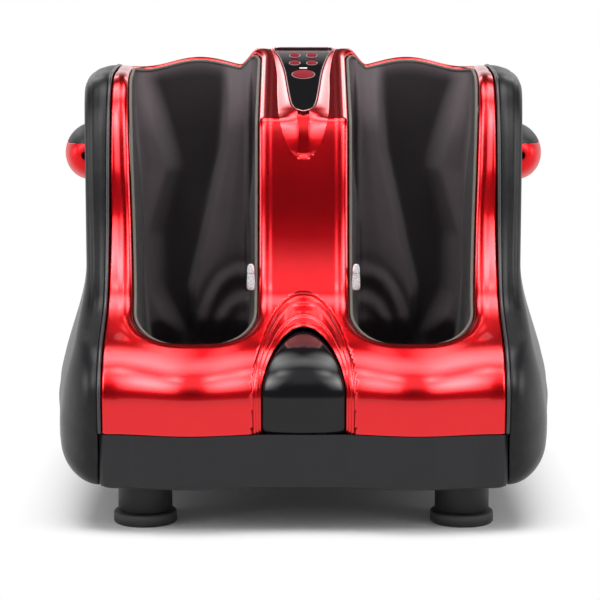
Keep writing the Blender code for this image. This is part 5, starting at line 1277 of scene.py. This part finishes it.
# Folds: place round the rim as a share, lean, width as a share, and height
FOLDS = ((0.18, 0.5, 0.030, 0.0050), (0.30, -0.7, 0.022, 0.0060), (0.44, 0.3, 0.028, 0.0045),
         (0.55, 0.9, 0.030, 0.0050), (0.68, -0.6, 0.024, 0.0060), (0.80, 0.6, 0.020, 0.0055),
         (0.88, -1.0, 0.018, 0.0065), (0.95, 0.5, 0.022, 0.0050))
LINER_ROWS = 90
LINER_SOLE_ROWS = 12
FOLD_LEAN_SHARE = 0.10
FOLD_LEAN_START = 0.4
FOLD_SHARE = 0.55
SAG_HEIGHT = 0.004
LINER_INSET = 0.0006
LINER_RIM_DROP = 0.0008
LINER_MIDDLE = (TOE_X, -0.04, 0.2)
SOLE_SHADE = 0.6

# Shade on the liner: in the gap between the pads, under the rim away from its rear, and on the side walls
GAP_SHADE_START_SHARE = 0.12
RIM_SHADE_START_SHARE = 0.10
RIM_SHADE_LENGTH_SHARE = 0.30
RIM_SHADE_MARGIN = 0.06
RIM_SHADE_EASE = 0.05
FACING_LOW = 0.55
FACING_EASE = 0.25
FACING_REAR_MARGIN = 0.02
FACING_REAR_EASE = 0.03

# The bound edge
BINDING_INSET = 0.0016
BINDING_DROP = 0.0010
BINDING_RADIUS = 0.0014
BINDING_SIDES = 10

# The zip on the liner's inner wall
ZIP_LOW_Z = 0.122
ZIP_HIGH_Z = 0.335
ZIP_COIL_RADIUS = 0.0010
ZIP_TAB_STAND = 0.0050
ZIP_TAB_HALF_WIDTH = 0.0036
ZIP_TAB_TURN = math.radians(25)
ZIP_TAB_HALF_THICKNESS = 0.0008
ZIP_SLIDER_HALF_SIZES = (0.0042, 0.0030, 0.0016)
ZIP_SLIDER_DROP = 0.0005
ZIP_COIL_STAND = 0.0004
ZIP_TAPER = 0.30
ZIP_ROUNDING = 0.6
ZIP_SIDES = 32
ZIP_ROWS = ((0.0, -1.0), (0.85, -1.0), (1.0, -0.5), (1.0, 0.5), (0.85, 1.0), (0.0, 1.0))

# The pads behind the cloth: heights, and how far out the inner and the outer pad reach into the well there
PAD_HEIGHTS = (0.120, 0.130, 0.170, 0.176, 0.220, 0.226, 0.286, 0.301, 0.345, 0.366)
INNER_PAD_EDGES = (0.092, 0.094, 0.099, 0.099, 0.0877, 0.0868, 0.0735, 0.0700, 0.0663, 0.0655)
OUTER_PAD_EDGES = (0.120, 0.123, 0.143, 0.144, 0.1445, 0.1450, 0.1280, 0.1310, 0.1440, 0.1510)
INNER_RIDGE_X = 0.0510
PAD_REACH = 0.034
PAD_FALL = 0.010
PAD_FOOT_Z = 0.118
PAD_FULL_Z = 0.150
PAD_TOP_SHARE = 0.30
PAD_BACK_Y = 0.060
HANG_X = 0.0475
HANG_Z = 0.127
HANG_STEP = 0.021
HANG_START = 0.014
HANG_END = 0.070
HANG_FOLD = 0.0034
RIM_SHADE = 0.90
PAD_RIM_SHARES = (0.45, 0.30)
PAD_SWELL_SHARES = (0.55, 0.60)
OUTER_PAD_FALL = 1.6 * PAD_FALL
GAP_SHADE_WIDTHS = (1.4 * PAD_FALL, 2 * PAD_FALL)
HANG_SQUASH = 0.8
HANG_WANDER = 1.5
HANG_WANDER_TURN = 70
INNER_RIDGE_WIDTH = 0.0022
INNER_RIDGE_SHARE = 0.13
INNER_RIDGE_Z = 0.22
INNER_RIDGE_EASE = 0.03


def fold_height(u, t):
    """Slack cloth: leaning ridges that swell from the rim and settle at the sole, over slow waves."""
    height = 0 * (u + t)
    for at, lean, width, tall in FOLDS:
        away = (u - at - FOLD_LEAN_SHARE * lean * (t - FOLD_LEAN_START) + 0.5) % 1.0 - 0.5
        ridge = tall * np.exp(-np.abs(away / width) ** 1.6)
        height = height + ridge * np.sin(math.pi * np.clip(t, 0, 1)) ** 1.1
    return height + SAG_HEIGHT * np.sin(2 * math.pi * (2 * t + 3 * u)) * np.sin(math.pi * t) ** 2


def pad_shape(x, z):
    """How far the pads push the rear cloth forwards, and how much painted shade a place gets in the gap
    between them.

    The inner pad swells from the well's inner side to its edge and falls off steeply there, the outer one the
    same from the other side. Round folds hang low on the inner pad, as waves round a point near its foot.
    """
    inner_edge = np.interp(z, PAD_HEIGHTS, INNER_PAD_EDGES)
    outer_edge = np.interp(z, PAD_HEIGHTS, OUTER_PAD_EDGES)
    from_inner = np.clip((x - WELL_INNER_X) / (inner_edge - WELL_INNER_X), 0, 1)
    from_outer = np.clip((WELL_OUTER_HIGH_X - x) / (WELL_OUTER_HIGH_X - outer_edge), 0, 1)
    inner, outer = (rim + swell * np.sin(way * math.pi / 2) for rim, swell, way in
                    zip(PAD_RIM_SHARES, PAD_SWELL_SHARES, (from_inner, from_outer)))
    inner = inner * (1 - ease((x - inner_edge) / PAD_FALL))
    outer = outer * (1 - ease((outer_edge - x) / OUTER_PAD_FALL))
    ridge = INNER_RIDGE_SHARE * np.exp(-((x - INNER_RIDGE_X) / INNER_RIDGE_WIDTH) ** 2)
    ridge = ridge * ease((z - INNER_RIDGE_Z) / INNER_RIDGE_EASE)
    r = np.hypot(x - HANG_X, HANG_SQUASH * (z - HANG_Z))
    window = ease((r - HANG_START) / HANG_STEP) * ease((HANG_END - r) / HANG_STEP)
    wander = HANG_WANDER * np.sin(x * HANG_WANDER_TURN)
    hanging = HANG_FOLD * np.sin(2 * math.pi * r / HANG_STEP + wander) * window
    # Painted shade: full in the gap between the pads' edges, fading to none at each edge
    painted_shade = ease((x - inner_edge) / GAP_SHADE_WIDTHS[0]) * ease((outer_edge - x) / GAP_SHADE_WIDTHS[1])
    return PAD_REACH * (np.maximum(inner, outer) + ridge) + hanging, painted_shade


def sole_ring():
    corners = [(SOLE_INNER_X, SOLE_TOE_Y), (SOLE_OUTER_X, SOLE_TOE_Y), (SOLE_OUTER_X, SOLE_HEEL_Y),
               (SOLE_INNER_X, SOLE_HEEL_Y)]
    return rounded_quad(corners, (SOLE_TOE_RADIUS, SOLE_TOE_RADIUS, SOLE_HEEL_RADIUS, SOLE_HEEL_RADIUS))


def liner_grid():
    """The right liner: a cubic from under the lip to the sole's edge, with folds, then in over the sole."""
    ring = well_ring(LINER_INSET)
    s = ring[:, 1]
    top = skin(ring[:, 0], s, -lip_radius(s) + LINER_RIM_DROP)
    under = skin(ring[:, 0], s, -lip_radius(s) - LINER_TUCK)
    sole = sole_ring()
    bottom = np.column_stack((sole, np.full(len(sole), SOLE_Z)))
    above = bottom + (0, 0, LINER_EASE)
    t = np.linspace(0, 1, LINER_ROWS)[:, None, None]
    wall = top * (1 - t) ** 3 + under * 3 * t * (1 - t) ** 2 + above * 3 * t * t * (1 - t) + bottom * t ** 3
    middle = np.array(((SOLE_INNER_X + SOLE_OUTER_X) / 2, (SOLE_TOE_Y + SOLE_HEEL_Y) / 2, SOLE_Z))
    inward = (middle - wall) * (1, 1, 0)
    inward /= np.linalg.norm(inward, axis=-1)[..., None]
    t = t[..., 0]
    u = (np.arange(len(ring)) / len(ring))[None, :]
    wall = wall + inward * FOLD_SHARE * fold_height(u, t)[..., None]
    x, y, z = wall[..., 0], wall[..., 1], wall[..., 2]
    forward, painted_shade = pad_shape(x, z)
    behind = ramp(y, middle[1], PAD_BACK_Y)
    wall[..., 1] = y - forward * (ease(t / PAD_TOP_SHARE) * ramp(z, PAD_FOOT_Z, PAD_FULL_Z)) * behind
    # Painted shade on the rear cloth in the gap between the pads, from a little way down; then painted shade
    # under the rim, away from its rear, and on walls that face sideways
    painted_shade = painted_shade * behind * ease(t / GAP_SHADE_START_SHARE)
    beside = 1 - ease((s - FRONT_LENGTH + WELL_REAR_MARGIN + RIM_SHADE_MARGIN) / RIM_SHADE_EASE)
    near_rim = 1 - ease((t - RIM_SHADE_START_SHARE) / RIM_SHADE_LENGTH_SHARE)
    painted_shade = np.maximum(painted_shade, RIM_SHADE * beside * near_rim)
    facing = ease((np.abs(inward[..., 0]) - FACING_LOW) / FACING_EASE)
    facing = facing * ease((PAD_BACK_Y - FACING_REAR_MARGIN - y) / FACING_REAR_EASE)
    painted_shade = np.maximum(painted_shade, RIM_SHADE * facing)
    share = np.linspace(0, 1, LINER_SOLE_ROWS + 1)[1:, None, None]
    sole = wall[-1] + (middle - wall[-1]) * share
    # Painted shade over the sole, at one level
    painted_shade = np.concatenate((painted_shade, np.full(sole.shape[:2], SOLE_SHADE)))
    return np.concatenate((wall, sole)), painted_shade


def make_liners():
    """Both liners, with their map in metres: length round the rim, and way down from it."""
    grid, painted_shade = liner_grid()
    rows, columns = grid.shape[:2]
    down = np.concatenate((np.zeros((1, columns)),
                           np.cumsum(np.linalg.norm(np.diff(grid, axis=0), axis=-1), axis=0)))
    ring_length = lengths_of(np.vstack((grid[0], grid[0][:1])))[:-1]
    uv = np.stack((np.broadcast_to(ring_length, down.shape), down), axis=-1).reshape(-1, 2)
    for name, side in SIDES:
        points = (grid * (side, 1, 1)).reshape(-1, 3)
        middle = np.array(LINER_MIDDLE) * (side, 1, 1)
        faces = turned_out(points, grid_faces(rows, columns, wrap=True), middle)
        # Each point carries its painted shade, which the cloth's material reads
        liner = walled(f"cloth_liner_{name}", points, faces, LINER_WALL, uv=uv, sharp=math.pi,
                       marks={"painted_shade": painted_shade.reshape(-1)})
        dress(liner, "liner_fabric", replaces=(f"liner_{name}",))
        area = np.linalg.norm(face_normals(points, faces), axis=1).sum() / 2
        make_liner_binding(name, side)
        make_zip(name, side, grid)


def make_zip(name, side, grid):
    """The zip's coil down the liner's inner wall, and its slider and tab, which ride on the pull's body."""
    low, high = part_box(f"zip_pull_{name}")
    middle_y, middle_z = (low.y + high.y) / 2, (low.z + high.z) / 2
    level = int(np.argmin(np.abs(grid[:, 0, 2] - middle_z)))
    inside = np.where(grid[level, :, 0] < TOE_X, np.abs(grid[level, :, 1] - middle_y), 1.0)
    line = grid[:, int(np.argmin(inside))]
    line = line[(line[:, 2] > ZIP_LOW_Z) & (line[:, 2] < ZIP_HIGH_Z)]
    x, y, z = line.T
    x = x + ZIP_COIL_STAND
    path = np.column_stack((x * side, y, z))
    bead(f"zip_coil_{name}", path, np.array((0.0, 1.0, 0.0)), ZIP_COIL_RADIUS, "black_plastic")
    wall = float(np.interp(-middle_z, -z, x))
    heart = np.array((wall + ZIP_TAB_STAND, float(np.interp(-high.z, -z, y)), 0.0))
    turn = circle_angles(ZIP_SIDES)
    taper = 1 - ZIP_TAPER * np.sin(turn)
    aside, along = (np.sign(wave) * np.abs(wave) ** ZIP_ROUNDING for wave in (np.cos(turn), np.sin(turn)))
    rows = np.array(ZIP_ROWS)
    tab = (middle_z, (high.z - low.z) / 2, ZIP_TAB_HALF_WIDTH, ZIP_TAB_HALF_THICKNESS)
    slider = (high.z - ZIP_SLIDER_DROP, *ZIP_SLIDER_HALF_SIZES)
    for part, sizes, replaced in (("tab", tab, (f"zip_pull_{name}",)), ("slider", slider, ())):
        middle, half_high, half_wide, half_thick = sizes
        across = half_wide * taper * aside * rows[:, :1]
        up = half_high * along * rows[:, :1]
        off = half_thick * rows[:, 1:] + 0 * across
        points = np.stack((across * math.cos(ZIP_TAB_TURN) + off * math.sin(ZIP_TAB_TURN),
                           across * math.sin(ZIP_TAB_TURN) - off * math.cos(ZIP_TAB_TURN), up), axis=-1)
        points = ((points + heart + (0, 0, middle)) * (side, 1, 1)).reshape(-1, 3)
        faces = turned_out(points, grid_faces(len(rows), len(turn), wrap=True), points.mean(axis=0))
        dress(mesh_object(f"zip_{part}_{name}", points, faces), "zip_metal", body=f"{name}_zip_pull",
              replaces=replaced)


def make_liner_binding(name, side):
    """The bound edge of the liner, a soft bead just inside the lip."""
    ring = well_ring(BINDING_INSET)
    s = ring[:, 1]
    path = skin(ring[:, 0], s, -lip_radius(s) + BINDING_DROP) * (side, 1, 1)
    ahead = np.roll(path, -1, axis=0) - np.roll(path, 1, axis=0)
    ahead /= np.linalg.norm(ahead, axis=1)[:, None]
    up = skin(ring[:, 0], s, 0.01) * (side, 1, 1) - skin(ring[:, 0], s, 0.0) * (side, 1, 1)
    up /= np.linalg.norm(up, axis=1)[:, None]
    across = np.cross(ahead, up)
    across /= np.linalg.norm(across, axis=1)[:, None]
    binding = tube(f"liner_binding_{name}", path, up, across, BINDING_RADIUS, BINDING_SIDES, wrap=True)
    dress(binding, "binding")


# Feet: places, radii, and profiles of radius and height over the floor

FOOT_X = 0.135
FOOT_Y = 0.130
FOOT_RADIUS = 0.0268
NECK_RADIUS = 0.023
NECK_TOP = (NECK_RADIUS + 0.0006, 0.034)
LEG_LOW = ((0.0, 0.0105), (NECK_RADIUS - 0.001, 0.0105), (NECK_RADIUS, 0.0115), (NECK_RADIUS, 0.030),
           NECK_TOP)
FRONT_LEG = (*LEG_LOW, (FOOT_RADIUS - 0.0008, 0.0435), (FOOT_RADIUS - 0.0008, 0.058),
             (FOOT_RADIUS - 0.002, 0.060), (0.0, 0.060))
REAR_LEG = (*LEG_LOW, (NECK_RADIUS + 0.0006, 0.0397), (0.0, 0.0397))
FOOT_PAD = ((0.0, 0.0), (FOOT_RADIUS - 0.001, 0.0), (FOOT_RADIUS, 0.001), (FOOT_RADIUS, 0.0088),
            (FOOT_RADIUS - 0.0012, 0.0100), (0.0, 0.0100))
FOOT_SIDES = 64


def make_feet():
    """Turned feet: a flared root, a neck and a round flange, each with softened edges."""
    for name, side in SIDES:
        for end, y, body, leg, pads, legs in (
                ("front", -FOOT_Y, "stand", FRONT_LEG, (f"stand_foot_{name}",), (f"stand_leg_{name}",)),
                ("rear", FOOT_Y, "housing", REAR_LEG, (f"rear_foot_{name}",), ())):
            def put(a, b, h, x=side * FOOT_X, y=y):
                return np.stack((x + a, y + b, h), axis=-1)

            pad = turned(f"{end}_foot_pad_{name}", FOOT_PAD, FOOT_SIDES, put)
            dress(pad, "rubber", body=body, replaces=pads)
            neck = turned(f"{end}_foot_neck_{name}", leg, FOOT_SIDES, put)
            dress(neck, "black_plastic", body=body, replaces=legs)


# Finishes of the nodes that stay

ARMS = tuple(f"kneading_arm_{name}_{place}" for name, side in SIDES for place in ("inner", "outer"))
NODE_FINISHES = {
    "black_plastic": ("base_tray", "drive_frame", "gearbox_plate", *ARMS, "sole_frame", "footbed_left",
                      "footbed_right", "power_inlet", "switch_frame"),
    "steel": ("stand_shaft", "calf_motor", "calf_worm", "calf_camshaft", "arm_pivot_rod", "sole_motor",
              "sole_worm", "sole_shaft"),
    "gear_plastic": ("calf_worm_wheel", "sole_worm_wheel", "kneading_roller_left", "kneading_roller_right"),
    "circuit_board": ("switch_board", "power_board"),
    "panel_lens": ("control_panel",),
    "indicator": ("led_window",),
    "black_gloss": ("rocker_switch",),
    "zip_metal": ("zip_pull_left", "zip_pull_right"),
}


def finish_nodes():
    for finish, names in NODE_FINISHES.items():
        for name in names:
            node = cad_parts[name]
            node.data.materials.clear()
            node.data.materials.append(FINISHES[finish])


# Floor, world and lamps

FLOOR_HALF = 6.0
LIT_FLOOR_HALF = (0.175, 0.150)
NEAR_FLOOR = 0.005
FAR_FLOOR = 0.075


def make_floor():
    """A pale floor. Away from the object it shows plain white, so that it runs into the background."""
    mesh = bpy.data.meshes.new("studio_floor")
    h = FLOOR_HALF
    mesh.from_pydata([(-h, -h, 0), (h, -h, 0), (h, h, 0), (-h, h, 0)], [], [(0, 1, 2, 3)])
    floor = bpy.data.objects.new("studio_floor", mesh)
    bpy.context.scene.collection.objects.link(floor)
    pale = Finish("studio_floor", (0.93, 0.93, 0.93), 0.9)
    x = pale.node("ShaderNodeSeparateXYZ", inputs={0: pale.place()})
    y = pale.node("ShaderNodeSeparateXYZ", inputs={0: pale.place()}, out=1)
    past = [(along.math("ABSOLUTE") - half).math("MAXIMUM", 0.0)
            for along, half in zip((x, y), LIT_FLOOR_HALF)]
    far = (past[0] * past[0] + past[1] * past[1]).math("SQRT").clamped(NEAR_FLOOR, FAR_FLOOR)
    seen = pale.node("ShaderNodeLightPath", out=0).math("MAXIMUM", pale.node("ShaderNodeLightPath", out=3))
    white = pale.node("ShaderNodeEmission", inputs={"Color": (1, 1, 1, 1), "Strength": 1.0})
    out = pale.tree.nodes["Material Output"]
    lit = Value(pale, pale.shader.outputs[0])
    faded = pale.node("ShaderNodeMixShader", inputs={0: far * seen, 1: lit, 2: white})
    pale.feed(out.inputs["Surface"], faded)
    mesh.materials.append(pale.material)


# What glossy faces see: azimuth from the camera's side, elevation, half width and half height in degrees,
# softness of the edge, and strength. Each but the middle one has its like on the other side.
SOFTBOXES = (
    (34, 34, 10, 12, 0.18, 13.0), (80, 14, 12, 9, 0.10, 7.0), (160, 36, 4, 3, 0.06, 6.0),
    (155, 26, 4, 3, 0.06, 5.0), (154, 34, 9, 14, 0.12, 0.8), (21, 53, 4, 5, 0.06, 7.0),
    (72, 72, 17, 11, 0.16, 8.0),
)
MIDDLE_SOFTBOX = (0, 46, 10, 16, 0.12, 0.75)

# The world: depth or height of a direction where the backdrop and the floor side start and end, and strengths
BACKDROP_START = -0.05
BACKDROP_FULL = 0.30
BACKDROP_FADE_START = 0.20
BACKDROP_FADE_END = 0.62
FLOOR_SIDE_START = -0.06
FLOOR_SIDE_END = 0.02
BACKDROP_STRENGTH = 0.9
DARK_STUDIO = 0.035
PLAIN_LIGHT = 0.42
WHITE_LIGHT = 1.0


def softbox(sky, at, box):
    """Strength of a soft-edged rectangle in the sky, in a direction."""
    azimuth, elevation, half_width, half_height = (math.radians(angle) for angle in box[:4])
    softness, strength = box[4:]
    level = math.cos(elevation)
    aside = (math.cos(azimuth), math.sin(azimuth), 0)
    ahead = (math.sin(azimuth) * level, -math.cos(azimuth) * level, math.sin(elevation))
    over = Vector(aside).cross(Vector(ahead))
    over = tuple(over if over.z > 0 else -over)

    def along(axis):
        return sky.node("ShaderNodeVectorMath", {"operation": "DOT_PRODUCT"}, {0: at, 1: axis}, out=1)

    depth = along(ahead).math("MAXIMUM", 0.01)
    shares = []
    for axis, half in ((aside, half_width), (over, half_height)):
        off = (along(axis) / depth).math("ABSOLUTE")
        edge = math.tan(half)
        shares.append(1 - off.clamped(edge - softness, edge + softness))
    return shares[0] * shares[1] * strength


def make_world():
    """Plain pale light for matt faces. Glossy faces see a dark studio, softboxes and a white backdrop."""
    world = bpy.data.worlds.new("studio")
    bpy.context.scene.world = world
    world.use_nodes = True
    world.node_tree.nodes.clear()
    sky = Shading(world.node_tree)
    at = sky.node("ShaderNodeTexCoord", out=0)
    y = sky.node("ShaderNodeSeparateXYZ", inputs={0: at}, out=1)
    z = sky.node("ShaderNodeSeparateXYZ", inputs={0: at}, out=2)
    behind = y.clamped(BACKDROP_START, BACKDROP_FULL)
    backdrop = behind * (1 - z.clamped(BACKDROP_FADE_START, BACKDROP_FADE_END))
    floor_side = 1 - z.clamped(FLOOR_SIDE_START, FLOOR_SIDE_END)
    seen = (backdrop * BACKDROP_STRENGTH).math("MAXIMUM", floor_side * BACKDROP_STRENGTH) + DARK_STUDIO
    for azimuth, *rest in SOFTBOXES:
        for side in (1, -1):
            seen = seen + softbox(sky, at, (side * azimuth, *rest))
    seen = seen + softbox(sky, at, MIDDLE_SOFTBOX)
    glossy = sky.node("ShaderNodeLightPath", out=3)
    camera = sky.node("ShaderNodeLightPath", out=0)
    plain = PLAIN_LIGHT + camera * (WHITE_LIGHT - PLAIN_LIGHT)
    strength = plain * (1 - glossy) + seen * glossy
    background = sky.node("ShaderNodeBackground", inputs={"Color": (1, 1, 1, 1), "Strength": strength})
    output = sky.tree.nodes.new("ShaderNodeOutputWorld")
    sky.tree.links.new(background.socket, output.inputs["Surface"])


def lamp(name, place_at, target, size, power, glossy=True):
    data = bpy.data.lights.new(name, "AREA")
    data.shape = "RECTANGLE"
    data.size, data.size_y = size
    data.energy = power
    obj = bpy.data.objects.new(name, data)
    bpy.context.scene.collection.objects.link(obj)
    obj.visible_glossy = glossy
    obj.location = place_at
    obj.rotation_mode = "QUATERNION"
    obj.rotation_quaternion = (Vector(target) - Vector(place_at)).to_track_quat("-Z", "Y")


def make_lamps():
    lamp("softbox_top", (0, -0.55, 1.75), (0, 0, 0.2), (1.6, 0.9), 24, glossy=False)
    lamp("softbox_left", (-1.5, -0.9, 0.9), (0, 0, 0.2), (0.5, 1.2), 8, glossy=False)
    lamp("softbox_right", (1.5, -0.9, 0.9), (0, 0, 0.2), (0.5, 1.2), 8, glossy=False)


make_floor()
make_world()
make_lamps()
bpy.context.scene.view_settings.view_transform = "Standard"

make_red_shell()
make_arch_steps()
make_arch_insert()
make_console_rim()
make_console_fins()
make_buttons()
make_rear_cover()
make_sides()
make_piping()
make_handles()
make_liners()
make_feet()
finish_nodes()
